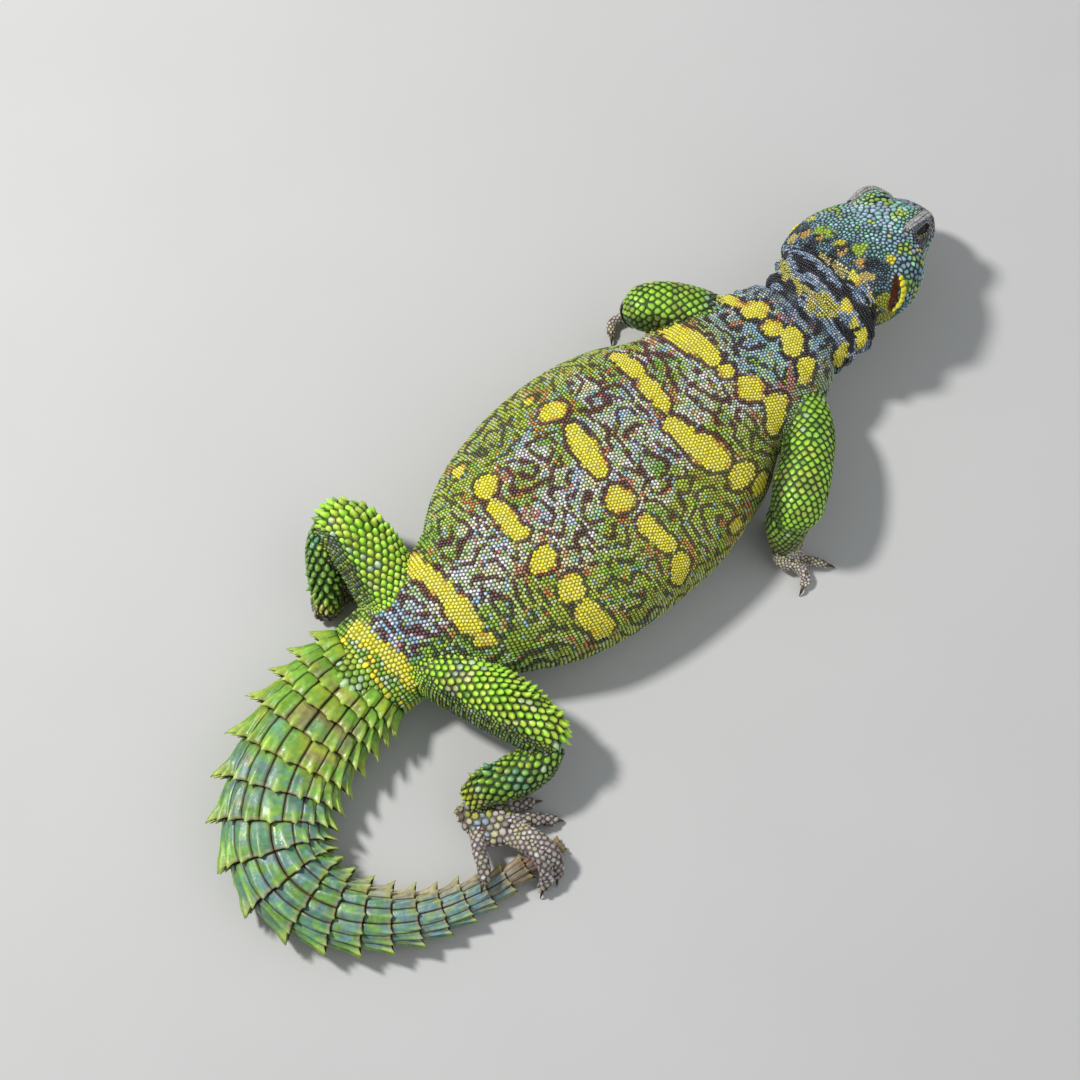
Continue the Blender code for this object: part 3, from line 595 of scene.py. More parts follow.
# Size of the remesher's cells, and the skin's triangles after thinning out
VOXEL = 0.5
SKIN_TRIANGLES = 185000
# How deep the skin lies on the tail, under the scutes, and on the feet
TAIL_COAT = 1.1
FOOT_COAT = 0.16
# Half angle, at distances along the tail, of the zone on top that has small plates and no scutes
TOP_GAP = [(0.0, 36.0), (2.2, 22.0), (5.0, 12.0), (7.0, 8.0), (7.2, 0.0)]
TOP_GAP_END = 7.0


def bar_tube(stations, side):
    """A tapered ridge on one side of the head."""
    rows = smooth_rows([mirrored(row, side) for row in stations], 30)
    rows[:, :3] = from_head(rows[:, :3])
    return level_tube(rows, (2.1, 2.1))


def plate_bed(run, angle):
    """The skin's rise under the small plates on top of the tail's root."""
    gap = looked_up(TOP_GAP, np.minimum(run, TOP_GAP_END)) * soft_step(1.2, 0.2, run - TOP_GAP_END)
    return (TAIL_COAT - COAT - 0.1) * soft_step(gap + 8, gap + 2, np.abs(np.degrees(angle - QUARTER)))


def build_skin():
    """One closed surface through every form, before its openings are pressed in."""
    tail.relief = plate_bed
    lofts = [body.rings(0.8, 130, -COAT), head.rings(0.5, 110, -COAT), tail.rings(0.8, 64, -TAIL_COAT)]
    lofts += [tube.rings(0.6, 44, -COAT) for tube in limbs.values()]
    lofts += [tube.rings(0.5, 32, -FOOT_COAT) for tubes in feet.values() for tube in tubes]
    for side in (1, -1):
        for middle, half_sizes in ((DOME, DOME_HALF_SIZES), (EYE, LID_HALF_SIZES)):
            smaller = np.array(half_sizes) - COAT
            lofts.append(ball_rings(mirrored(middle, side), smaller, HEAD_AXES, HEAD_ORIGIN))
        lofts.append(bar_tube(BROW, side).rings(0.4, 16, -0.2))
    tail.relief = None
    item = object_of("skin", mesh_of("skin", *joined(lofts)))
    remesh = item.modifiers.new("whole", "REMESH")
    remesh.mode = "VOXEL"
    remesh.voxel_size = VOXEL * MM
    even = item.modifiers.new("even", "SMOOTH")
    even.factor = 0.5
    even.iterations = 4
    fine = evaluated_mesh(item)
    fewer = item.modifiers.new("fewer", "DECIMATE")
    fewer.ratio = min(1.0, SKIN_TRIANGLES / (2 * len(fine.polygons)))
    mesh = evaluated_mesh(item)
    item.modifiers.clear()
    item.data = mesh
    open_head(mesh)
    mesh.shade_smooth()
    return item


def ear_place(local, side):
    """Coordinates in an ear's opening: across it, along it, and outward."""
    away = local - mirrored(EAR, side)
    across = away[:, 0] * math.cos(EAR_SLANT) - away[:, 2] * math.sin(EAR_SLANT)
    along = away[:, 0] * math.sin(EAR_SLANT) + away[:, 2] * math.cos(EAR_SLANT)
    return across, along, away[:, 1] * side


def ear_share(local, side):
    """How far out in an ear's opening a point is: under 1 is inside it."""
    across, along, outward = ear_place(local, side)
    share = np.hypot(across / EAR_HALF_SIZES[0], along / EAR_HALF_SIZES[2])
    return np.where(np.abs(outward) < 4.5, share, 9.0)


def eye_share(local, side):
    """How far out in the opening between the lids a point is: under 1 is inside it."""
    away = local - mirrored(EYE, side)
    out = unit(mirrored(LID_WAY, side))
    high = unit(UP - out[2] * out)
    x = away @ np.cross(out, high) * side
    y = away @ high - 0.15 * x
    return np.where(away @ out > 1.2, np.hypot(x / LID_OPENING[0], y / LID_OPENING[1]), 9.0)


def nostril_share(local, side):
    away = local - mirrored(NOSTRIL, side)
    return np.linalg.norm(away, axis=1) / (NOSTRIL_RADIUS * 1.25)


EAR_DEPTH = 3.0
NOSTRIL_DEPTH = 1.3
# How far the skin between the lids lies inside the eyeball's surface
LID_SINK = 0.7


def open_head(mesh):
    """Presses the ear cups, the openings between the lids and the nostrils into the skin."""
    world = points_of(mesh)
    local = to_head(world)
    near = np.nonzero(local[:, 0] > -8)[0]
    part = local[near]
    for side in (1, -1):
        share = ear_share(part, side)
        inside = share < 1
        part[inside, 1] -= side * EAR_DEPTH * np.sqrt(1 - share[inside] ** 2)
        share = eye_share(part, side)
        inside = share < 1
        middle = mirrored(EYE, side)
        rim = bump(share, 1.3, 0.24)
        part = part + unit(part - middle) * (0.3 * rim)[:, None]
        part[inside] = middle + unit(part[inside] - middle) * (EYE_RADIUS - LID_SINK)
        share = nostril_share(part, side)
        inside = share < 1
        inward = unit(np.array((20.0, 0.0, 0.0)) - mirrored(NOSTRIL, side))
        part[inside] += inward * (NOSTRIL_DEPTH * (1 - share[inside] ** 2))[:, None]
    world[near] = from_head(part)
    world[:, 2] = np.maximum(world[:, 2], COAT * 0.6)
    mesh.vertices.foreach_set("co", (world * MM).astype(np.float32).ravel())
    mesh.update()


def head_relief(run, angle):
    """The groove of the mouth and the lips' edges on the head's sides."""
    ahead = HEAD[0][0] + run
    below = np.interp(ahead, [r[0] for r in HEAD], [r[3] for r in HEAD])
    level = power(np.sin(angle), HEAD_LOW_SHAPE) * below
    groove = bump(level, MOUTH_LEVEL, 0.55) - 0.4 * bump(level, MOUTH_LEVEL + 1.3, 0.7)
    return -0.75 * groove * soft_step(MOUTH_CORNER - 2, MOUTH_CORNER + 1, ahead) * (np.sin(angle) < 0)


def lattice(cells, seed):
    """A fixed pseudo-random value from 0 to 1 for each whole-numbered cell."""
    mask = np.int64(0xFFFFFFFF)
    mixed = cells[..., 0] * 374761393 + cells[..., 1] * 668265263 + cells[..., 2] * 974634777
    mixed = (mixed + seed * 144665) & mask
    mixed = ((mixed ^ (mixed >> 13)) * 1274126177) & mask
    mixed = ((mixed ^ (mixed >> 15)) * 668265263) & mask
    return ((mixed ^ (mixed >> 16)) & 0xFFFFFF) / 0xFFFFFF


def noise(points, size, seed):
    """Smooth noise from -1 to 1 whose features have the given size."""
    grid = np.asarray(points) / size
    base = np.floor(grid).astype(np.int64)
    part = grid - base
    part = part * part * (3 - 2 * part)
    total = np.zeros(len(grid))
    for corner in range(8):
        step = np.array((corner & 1, corner >> 1 & 1, corner >> 2))
        weight = np.prod(np.where(step, part, 1 - part), axis=1)
        total += weight * lattice(base + step, seed)
    return 2 * total - 1


RING_POINTS = 361


def staggered(tube, first, last, pitch_at, spacing=0.87):
    """Roots in staggered rows round a tube.

    For each root: run, angle, distance from the top line, and that as a share of the whole way round.
    """
    angles = np.linspace(-QUARTER, 3 * QUARTER, RING_POINTS)
    run, row, found = first, 0, []
    while run < last:
        ring = tube.at(np.full(RING_POINTS, run), angles, -COAT)
        around = np.concatenate([[0], np.cumsum(np.linalg.norm(np.diff(ring, axis=0), axis=1))])
        around -= np.interp(QUARTER, angles, around)
        half = around[-1]
        pitch = pitch_at(np.full(RING_POINTS, run), around / half)
        count = np.concatenate([[0], np.cumsum(np.diff(around) * 2 / (pitch[1:] + pitch[:-1]))])
        count -= np.interp(0, around, count)
        offset = 0.5 * (row % 2)
        wanted = np.arange(math.ceil(count[0] - offset), math.floor(count[-1] - offset) + 1) + offset
        t = np.interp(wanted, count, around)
        angle = np.interp(wanted, count, angles)
        found.append(np.stack([np.full(len(t), run), angle, t, np.abs(t) / half], 1))
        run += spacing * float(pitch_at(np.array([run]), np.array([0.0]))[0])
        row += 1
    return np.concatenate(found).T


class Roots:
    """The roots of many scales: place, direction of lie, place on the chart, and how each scale is formed.

    Heights, crest and rise are shares of the pitch. Data is what the marking of a region reads.
    """

    KEYS = (
        "place", "lie", "chart", "region", "pitch", "height",
        "flat", "crest", "rise", "tilt", "angle", "data",
    )

    def __init__(self, **values):
        count = len(values["place"])
        for key in self.KEYS:
            value = np.asarray(values.get(key, 0.0), float)
            if value.ndim == 0:
                value = np.full(count, float(value))
            elif len(value) != count:
                value = np.tile(value, (count, 1))
            setattr(self, key, value)

    def kept(self, mask):
        return Roots(**{key: getattr(self, key)[mask] for key in self.KEYS})

    @staticmethod
    def joined(parts):
        return Roots(**{key: np.concatenate([getattr(p, key) for p in parts]) for key in Roots.KEYS})


# Scale pitch at places along the trunk and neck, and its change by the share of the way round from the top
BODY_PITCHES = [
    (-71, 1.32), (-62, 1.06), (-45, 0.98), (-10, 0.89), (30, 0.86),
    (55, 0.8), (66, 0.74), (72, 0.62), (90, 0.6),
]
PITCH_ROUND = [(0, 1.0), (0.25, 1.0), (0.45, 0.9), (0.62, 0.86), (0.8, 1.5), (1, 1.65)]


def pitch_on_body(run, q):
    """Scale pitch on the back, smaller on the flanks and in the neck's folds, larger under the belly."""
    return looked_up(BODY_PITCHES, run + TRUNK_START) * looked_up(PITCH_ROUND, np.abs(q))


def body_roots():
    run, angle, t, q = staggered(body, 0.5, body.length - 2.4, pitch_on_body)
    pitch = pitch_on_body(run, q)
    belly = soft_step(0.66, 0.8, q)
    return Roots(
        place=body.at(run, angle, -COAT),
        lie=-body.forward(run),
        chart=np.stack([run, t], 1),
        region=REGION_BODY,
        pitch=pitch,
        height=(0.40 - 0.12 * belly) * pitch,
        flat=0.9 * belly,
        crest=0.06,
        tilt=0.10 + 0.14 * soft_step(0.3, 0.5, q) * (1 - belly),
        angle=angle,
        data=np.stack([run + TRUNK_START, t, q], 1),
    )


REGION_BODY = 0
REGION_HEAD = 1
LIMB_ORDER = list(LIMBS)
REGION_LIMB = {name: 10 + k for k, name in enumerate(LIMB_ORDER)}
REGION_FOOT = {name: 20 + k for k, name in enumerate(FEET)}
REGION_TAIL = 2

# Scale pitch, height, crest, extra rise of the point, and tilt on each kind of limb part
LIMB_SCALES = {
    "thigh": (2.0, 0.22, 0.32, 0.18, 0.24),
    "shank": (2.1, 0.34, 0.16, 0.1, 0.12),
    "upper": (2.15, 0.16, 0.12, 0.0, 0.16),
    "forearm": (1.6, 0.18, 0.1, 0.0, 0.16),
}


def limb_roots(name, tube):
    """Scales of a limb: lozenges on the arms, pointed on the hind legs, and fine in the bends."""
    kind = name.split("_")[0]
    pitch, height, crest, rise, tilt = LIMB_SCALES[kind]
    left = name.endswith("left")
    hind = kind in ("thigh", "shank")
    rear_sign = 1 if left else -1

    def pitch_at(run, q):
        rear = q * rear_sign
        ends = run / tube.length
        if kind == "thigh":
            fine = 0.56 * soft_step(0.12, 0.26, rear) + 0.4 * soft_step(0.6, 0.8, -rear)
            fine = fine + 0.3 * soft_step(0.3, 0.05, ends) * (1 - fine)
        elif kind == "shank":
            fine = 0.5 * soft_step(0.24, 0.4, np.abs(q)) + 0.3 * soft_step(0.7, 1.0, ends)
        else:
            fine = 0.3 * soft_step(0.5, 0.75, np.abs(q)) + 0.25 * soft_step(0.75, 1.0, ends)
        return pitch * (1 - np.minimum(fine, 0.6))

    run, angle, t, q = staggered(tube, 0.4, tube.length - 0.2, pitch_at, 0.8 if hind else 0.56)
    share = run / tube.length
    signed = t / np.maximum(np.abs(t), 1e-6) * q
    size = noise(np.stack([run, t, run * 0], 1), 2.2, 31 + len(name))
    pitches = pitch_at(run, signed) * (1 + (0.2 if hind else 0.08) * size)
    rear = np.cos(angle - math.radians(REAR_SIDE[name]))
    large = soft_step(1.2, 1.7, pitches)
    spiny = hind * soft_step(0.2, 0.95, rear) * soft_step(0.35, 0.7, share) * (size > -0.3) * large
    return Roots(
        place=tube.at(run, angle, -COAT),
        lie=tube.forward(run),
        chart=np.stack([run, t], 1),
        region=REGION_LIMB[name],
        pitch=pitches,
        height=height * pitches * (0.85 + 0.2 * size),
        flat={"thigh": 0.65, "shank": 0.35}.get(kind, 0.8),
        crest=crest + 0.14 * spiny,
        rise=rise + 0.6 * spiny,
        tilt=tilt,
        data=np.stack([share, np.cos(angle) * (-1 if left else 1), np.sin(angle)], 1),
    )


# Angle round each limb at which its edge with the longest points lies
REAR_SIDE = {
    "thigh_left": 75,
    "shank_left": 65,
    "thigh_right": 105,
    "shank_right": 50,
    "upper_arm_left": 90,
    "forearm_left": 90,
    "upper_arm_right": 90,
    "forearm_right": 90,
}


# Scale pitch on the palm and on the toes
FOOT_PITCHES = {"foot": (1.75, 1.2), "hand": (0.85, 0.75)}


def foot_roots(name, tubes):
    """Granules on a palm, and finer ones along the toes."""
    found = []
    offset = 0.0
    for number, tube in enumerate(tubes):
        palm = number == 0
        base = FOOT_PITCHES[name.split("_")[0]][0 if palm else 1]

        def pitch_at(run, q):
            return base * (1 + 0.12 * np.cos(q * 5)) * np.ones(np.shape(run))

        run, angle, t, q = staggered(tube, 0.3, tube.length - (0.0 if palm else 0.2), pitch_at)
        vary = noise(np.stack([run, t, np.full(len(run), 3.0 * number)], 1), 1.3, 47)
        pitches = pitch_at(run, q) * (1 + 0.25 * vary)
        found.append(Roots(
            place=tube.at(run, angle, -FOOT_COAT),
            lie=tube.forward(run),
            chart=np.stack([run + offset, t], 1),
            region=REGION_FOOT[name],
            pitch=pitches,
            height=0.26 * pitches,
            flat=0.6,
            crest=0.05,
            tilt=0.06,
            data=np.stack([run / tube.length, np.full(len(run), float(number)), 0 * run], 1),
        ))
        offset += tube.length + 3
    return Roots.joined(found)


def tail_roots():
    """Small irregular plates on top of the tail's first whorls."""
    def pitch_at(run, q):
        return looked_up([(0, 1.5), (3, 1.8), (7, 2.2), (11, 2.6)], run) + 0 * q

    run, angle, t, q = staggered(tail, 0.6, TOP_GAP[-1][0] + 0.6, pitch_at)
    wide = np.array([top_gap(min(r, TOP_GAP_END)) for r in run])
    keep = np.abs(angle - QUARTER) < wide + 0.26
    run, angle, t, q = run[keep], angle[keep], t[keep], q[keep]
    jitter = noise(np.stack([run, t, 0 * t], 1), 2.0, 71)
    pitches = pitch_at(run, q) * (1 + 0.2 * jitter)
    return Roots(
        place=tail.at(run, angle, -COAT - 0.1),
        lie=tail.forward(run),
        chart=np.stack([run, t], 1),
        region=REGION_TAIL,
        pitch=pitches,
        height=0.26 * pitches,
        flat=1.0,
        crest=0.2,
        rise=0.12,
        tilt=0.2,
        data=np.stack([run, t, q], 1),
    )


def skin_points(mesh, count, rng, head_only=False):
    """Random points spread evenly over the skin, with their normals."""
    mesh.calc_loop_triangles()
    corners = np.empty(len(mesh.loop_triangles) * 3, np.int32)
    mesh.loop_triangles.foreach_get("vertices", corners)
    triangles = points_of(mesh)[corners.reshape(-1, 3)]
    if head_only:
        triangles = triangles[to_head(triangles.mean(1))[:, 0] > HEAD_START]
    cross = np.cross(triangles[:, 1] - triangles[:, 0], triangles[:, 2] - triangles[:, 0])
    area = np.linalg.norm(cross, axis=1)
    chosen = rng.choice(len(triangles), count, p=area / area.sum())
    first, second, third = triangles[chosen].transpose(1, 0, 2)
    a, b = rng.random(count), rng.random(count)
    over = a + b > 1
    a[over], b[over] = 1 - a[over], 1 - b[over]
    return first + a[:, None] * (second - first) + b[:, None] * (third - first)


# Where the head's shields start, and how many places for them are tried
HEAD_START = -8.7
HEAD_TRIALS = 32000
TEMPLE = (-4.6, 12.8, 7.4)
TEMPLE_SIZE = (3.6, 3.2, 3.0)
HEAD_PITCHES = [(-9, 0.66), (-5, 0.8), (0, 1.0), (5, 1.25), (12, 1.3), (20, 1.3), (27, 1.1)]
LIP_RISE = 1.05
LIP_PITCH = 1.65


def folded(local):
    """Places on the head, those of its right side mirrored to its left."""
    return np.stack([local[:, 0], np.abs(local[:, 1]), local[:, 2]], 1)


def pitch_on_head(local):
    """Shield pitch: larger on the crown and cheeks, fine round the eyes, on the temples and the nape."""
    place = folded(local)
    ahead, side, up = place.T
    pitch = looked_up(HEAD_PITCHES, ahead)
    crown = soft_step(4.5, 3.0, side) * soft_step(2, 5, up) * soft_step(6, 9, ahead)
    pitch = pitch + 0.4 * crown
    cheek = soft_step(13, 16, side) * soft_step(-2, 1, ahead) * soft_step(-4, -2, up)
    pitch = pitch + 0.45 * cheek
    temple = np.linalg.norm((place - TEMPLE) / TEMPLE_SIZE, axis=1)
    pitch = pitch * looked_up([(0.8, 0.75), (1.25, 1.0)], temple)
    eye = np.linalg.norm((place - (14.2, 7.4, 4.8)) * (0.9, 1, 1), axis=1)
    pitch = pitch * looked_up([(3, 0.34), (4.2, 0.4), (4.9, 0.62), (6.0, 1.0)], eye)
    throat = soft_step(-7, -10, up)
    return np.clip(pitch * (1 - 0.3 * throat), 0.45, 2.0)


def labial_roots():
    """Places of the lip shields, in a row above and a row below the mouth line on one side."""
    found = []
    for rise in (LIP_RISE, -LIP_RISE):
        for ahead in np.arange(MOUTH_CORNER + 0.5, HEAD[-1][0] - 0.2, LIP_PITCH):
            row = head.mixed(head.sizes, ahead - HEAD[0][0])
            level = MOUTH_LEVEL + rise
            share = min(1.0, abs(level) / row[2]) ** (HEAD_LOW_SHAPE / 2)
            across = (1 - share**2) ** (1 / HEAD_LOW_SHAPE) * row[0]
            found.append((ahead, across, level))
    return np.array(found)


def head_roots(mesh, rng):
    """Shields spread over the left of the head and mirrored to its right, closer where they are small."""
    trial = folded(to_head(skin_points(mesh, HEAD_TRIALS, rng, head_only=True)))
    clear = (ear_share(trial, 1) > 1.12) & (eye_share(trial, 1) > 1.1) & (nostril_share(trial, 1) > 1.1)
    trial = trial[clear & (trial[:, 0] > HEAD_START)]
    kept = labial_roots()
    spans = np.full(len(kept), 1.5)
    for place, span in zip(trial, pitch_on_head(trial)):
        if place[1] < 0.14 * span:
            place[1] = 0
        away = np.linalg.norm(kept - place, axis=1)
        if (away < 0.84 * (span + spans) / 2).any() or 0 < place[1] < 0.42 * span:
            continue
        kept = np.vstack([kept, place])
        spans = np.append(spans, span)
    on_middle = kept[:, 1] == 0
    other = kept[~on_middle] * (1, -1, 1)
    local = np.concatenate([kept, other])
    spans = np.concatenate([spans, spans[~on_middle]])
    place = from_head(local)
    round_lip = np.abs(local[:, 2] - MOUTH_LEVEL) < 1.6
    angle = np.arctan2(local[:, 2], -local[:, 1])
    small = soft_step(0.9, 0.6, spans)
    lid = soft_step(5.4, 4.4, np.linalg.norm(folded(local) - EYE, axis=1))
    return Roots(
        place=place,
        lie=np.tile(-HEAD_AXES[:, 0], (len(place), 1)),
        chart=np.stack([local[:, 0], angle * 14], 1),
        region=REGION_HEAD,
        pitch=spans,
        height=(0.30 + 0.1 * small - 0.2 * lid) * spans,
        flat=np.clip(0.72 - 0.5 * small - 0.2 * round_lip + 0.5 * lid, 0, 1),
        crest=0.03,
        tilt=0.05,
        data=local,
    )


# How far from the skin a root may lie before it counts as buried, and how many neighbours a scale looks at
MOST_AWAY = 0.75
NEIGHBOURS = 10


def settled(roots, surface):
    """Roots moved onto the skin, with normals. Those buried in another form are dropped."""
    places, normals, keep = [], [], []
    for place in roots.place:
        found, normal, _, away = surface.find_nearest(place)
        places.append(found)
        normals.append(normal)
        keep.append(away < MOST_AWAY)
    keep = np.array(keep)
    made = roots.kept(keep)
    made.place = np.array(places)[keep]
    return made, np.array(normals)[keep]


def nearest_of(places):
    tree = KDTree(len(places))
    for index, place in enumerate(places):
        tree.insert(place, index)
    tree.balance()
    return tree


def thinned(roots, normals):
    """Drops each root that lies too close to one before it."""
    tree = nearest_of(roots.place)
    kept = np.ones(len(roots.place), bool)
    for index, (place, pitch) in enumerate(zip(roots.place, roots.pitch)):
        for _, other, away in tree.find_range(place, 0.62 * pitch):
            if other < index and kept[other] and away < 0.31 * (pitch + roots.pitch[other]):
                kept[index] = False
                break
    return roots.kept(kept), normals[kept]


FILL_TRIALS = 150000


def filled(roots, normals, mesh, surface, rng):
    """Adds roots where the rows of neighbouring forms leave the skin bare."""
    tree = nearest_of(roots.place)
    extra, source = [], []
    bare = skin_points(mesh, FILL_TRIALS, rng)
    local = to_head(bare)
    clear = np.ones(len(bare), bool)
    for side in (1, -1):
        clear &= (ear_share(local, side) > 1.1) & (eye_share(local, side) > 1.08)
        clear &= nostril_share(local, side) > 1.1
    for place in bare[clear]:
        _, index, away = tree.find(place)
        pitch = roots.pitch[index]
        if away < 0.8 * pitch or away > 4.0:
            continue
        if extra and (np.linalg.norm(np.array(extra) - place, axis=1) < 0.8 * pitch).any():
            continue
        if in_scutes(place):
            continue
        extra.append(place)
        source.append(index)
    if not extra:
        return roots, normals
    added = roots.kept(np.array(source))
    shift = np.array(extra) - added.place
    added.place = np.array(extra)
    across = np.cross(normals[source], added.lie)
    added.chart = added.chart + np.stack([-(shift * added.lie).sum(1), (shift * across).sum(1)], 1)
    way = np.array([surface.find_nearest(p)[1] for p in extra])
    return Roots.joined([roots, added]), np.concatenate([normals, way])


def in_scutes(place):
    """Whether a point of the skin lies under the tail's rings of scutes."""
    away = np.linalg.norm(tail.middles - place, axis=1)
    at = away.argmin()
    return tail.run[at] > 0.8 and away[at] < tail.sizes[at].max() * 1.15


def neighbours(places):
    """Indices of the nearest other places to each."""
    tree = nearest_of(places)
    return np.array([[hit[1] for hit in tree.find_n(place, NEIGHBOURS)[1:]] for place in places])


def softened(normals, found):
    """Normals evened out with those of their neighbours that face nearly the same way."""
    for _ in range(2):
        alike = (normals[found] * normals[:, None]).sum(-1) > 0.5
        normals = unit(normals + (normals[found] * alike[..., None]).sum(1))
    return normals


def reaches(roots, normals, found, chosen, ways):
    """How far each chosen scale reaches in each direction before it meets its neighbours."""
    near = found[chosen]
    offset = roots.place[near] - roots.place[chosen][:, None]
    alike = (normals[near] * normals[chosen][:, None]).sum(-1) > 0.1
    lie, across = roots.lie[chosen], np.cross(normals[chosen], roots.lie[chosen])
    pitch = roots.pitch[chosen]
    x = (offset * lie[:, None]).sum(-1)
    y = (offset * across[:, None]).sum(-1)
    away = np.maximum(np.hypot(x, y), 1e-6)
    share = pitch[:, None] / (pitch[:, None] + roots.pitch[near])
    theta = np.arange(ways) * math.tau / ways
    lean = (x[..., None] * np.cos(theta) + y[..., None] * np.sin(theta)) / away[..., None]
    edge = np.where((lean > 0.2) & alike[..., None], (share * away)[..., None] / np.maximum(lean, 0.2), 9.0)
    return np.minimum(edge.min(1), (0.78 * pitch)[:, None])


# Rings of a scale from its foot: shares of its reach, of its height if domed and if flat, of its rise, tilt
# and lean, and of its own colour against the seam's: the foot ring is the dark seam, and the ring above it
# is darkened towards it as painted shade
SCALE_RINGS = [
    (1.0, -0.35, -0.35, 0.0, 0.0, 0.0, 0.0),
    (0.93, 0.36, 0.58, 0.05, 0.9, 0.2, 0.4),
    (0.6, 0.84, 0.92, 0.3, 1.0, 0.6, 0.95),
]
# Half size of a scale's patch on the chart
PATCH = 0.0014


def scale_mesh(name, roots, normals, reach, colours, seams):
    """One mesh of many closed scales, with a colour for each point and a chart patch for each scale."""
    count, ways = reach.shape
    theta = np.arange(ways) * math.tau / ways
    cos, sin = np.cos(theta), np.sin(theta)
    across = np.cross(normals, roots.lie)
    way = cos[None, :, None] * roots.lie[:, None] + sin[None, :, None] * across[:, None]
    overlap = 1 + 0.16 * roots.tilt[:, None] / 0.24 * np.maximum(cos, 0)[None]
    points, tints = [], []
    lean = roots.crest * roots.pitch
    for share, domed, flat, risen, tilted, leant, shade in SCALE_RINGS:
        level = roots.height * (domed + (flat - domed) * roots.flat)
        level = level + roots.rise * risen * roots.pitch
        slope = roots.tilt[:, None] * reach * cos[None] * tilted * share
        at = roots.place[:, None] + way * (reach * overlap * share)[..., None]
        at = at + normals[:, None] * (level[:, None] + slope)[..., None]
        at = at + roots.lie[:, None] * (lean * leant)[:, None, None]
        points.append(at)
        # Painted shade: each ring's colour is mixed towards the seam's by its share, darkest next to the
        # foot
        tints.append(np.repeat((seams + (colours - seams) * shade)[:, None], ways, 1))
    crown = roots.place + normals * (roots.height + roots.rise * roots.pitch)[:, None]
    points.append((crown + roots.lie * lean[:, None])[:, None])
    # Painted highlight: the crown is lightened and mixed towards white
    tints.append(mix(colours * 1.1, WHITE, 0.1)[:, None])
    rings = len(SCALE_RINGS)
    block = rings * ways + 1
    points = np.concatenate(points, 1).reshape(-1, 3)
    points[:, 2] = np.maximum(points[:, 2], FLOOR_CLEARANCE)
    first = (np.arange(count) * block)[:, None]
    around = np.arange(ways)
    quads = []
    for ring in range(rings - 1):
        one = ring * ways + around
        two = ring * ways + (around + 1) % ways
        quads.append(np.stack([one, two, two + ways, one + ways], -1))
    quads = np.concatenate(quads)
    top = np.stack([(rings - 1) * ways + around, (rings - 1) * ways + (around + 1) % ways,
                    np.full(ways, block - 1)], -1)
    faces = [
        (first[..., None] + quads[None]).reshape(-1, 4),
        (first[..., None] + top[None]).reshape(-1, 3),
        first + around[None, ::-1],
    ]
    mesh = mesh_of(name, points, faces)
    paint_points(mesh, np.clip(np.concatenate(tints, 1).reshape(-1, 3), 0, 1))
    chart = roots.chart - roots.chart.min(0)
    chart = 0.01 + 0.98 * chart / np.maximum(chart.max(0), 1e-6)
    local = [np.stack([cos, sin], -1) * ring[0] * PATCH for ring in SCALE_RINGS] + [np.zeros((1, 2))]
    uv = (chart[:, None] + np.concatenate(local)[None]).reshape(-1, 2)
    put_chart(mesh, uv)
    return mesh


def put_chart(mesh, uv):
    loops = np.empty(len(mesh.loops), np.int32)
    mesh.loops.foreach_get("vertex_index", loops)
    mesh.uv_layers.new(name="OFBake").data.foreach_set("uv", uv[loops].astype(np.float32).ravel())


def tone(*values):
    """A linear colour from sRGB values up to 255."""
    part = np.array(values) / 255
    return np.where(part <= 0.04045, part / 12.92, ((part + 0.055) / 1.055) ** 2.4)


WHITE = tone(250, 250, 250)
LILAC, PALE_BLUE, MINT = tone(222, 216, 230), tone(168, 202, 220), tone(184, 216, 168)
OLIVE, STEEL = tone(140, 150, 52), tone(128, 148, 168)
MAROON, NAVY, BLACK = tone(92, 42, 38), tone(30, 32, 46), tone(13, 12, 14)
YELLOW, CREAM, ORANGE = tone(255, 236, 44), tone(222, 200, 120), tone(222, 104, 58)
PALE_CREAM, OLIVE_YELLOW, PALE_GREY = tone(226, 224, 170), tone(172, 178, 52), tone(192, 182, 178)
TEAL, LIME = tone(80, 160, 140), tone(148, 200, 48)
DARK_GREEN, PINK_GREY, TAN = tone(40, 75, 30), tone(170, 155, 150), tone(150, 120, 90)
BROWN, RUST = tone(95, 65, 45), tone(150, 80, 40)
NAPE_BLUE, LAVENDER = tone(60, 100, 130), tone(150, 165, 190)
SNOUT_GREY, JAW_YELLOW, MOSS = tone(150, 150, 165), tone(190, 190, 40), tone(150, 175, 40)
BELLY_PALE = tone(190, 190, 150)
AQUA, PALE_AQUA, SLATE = tone(112, 184, 184), tone(160, 212, 208), tone(112, 142, 164)
SPRING, GRASS, SEA_GREEN = tone(176, 206, 62), tone(132, 184, 62), tone(98, 158, 124)
FOLD_BLUE, SCAR, GRANULE = tone(128, 152, 176), tone(140, 100, 84), tone(160, 160, 150)
PALE_SKY, WARM_CREAM = tone(136, 184, 212), tone(226, 180, 96)
PALE_SKIN, TAIL_GREEN, BLUE_GREEN = tone(226, 212, 204), tone(126, 180, 58), tone(96, 146, 134)

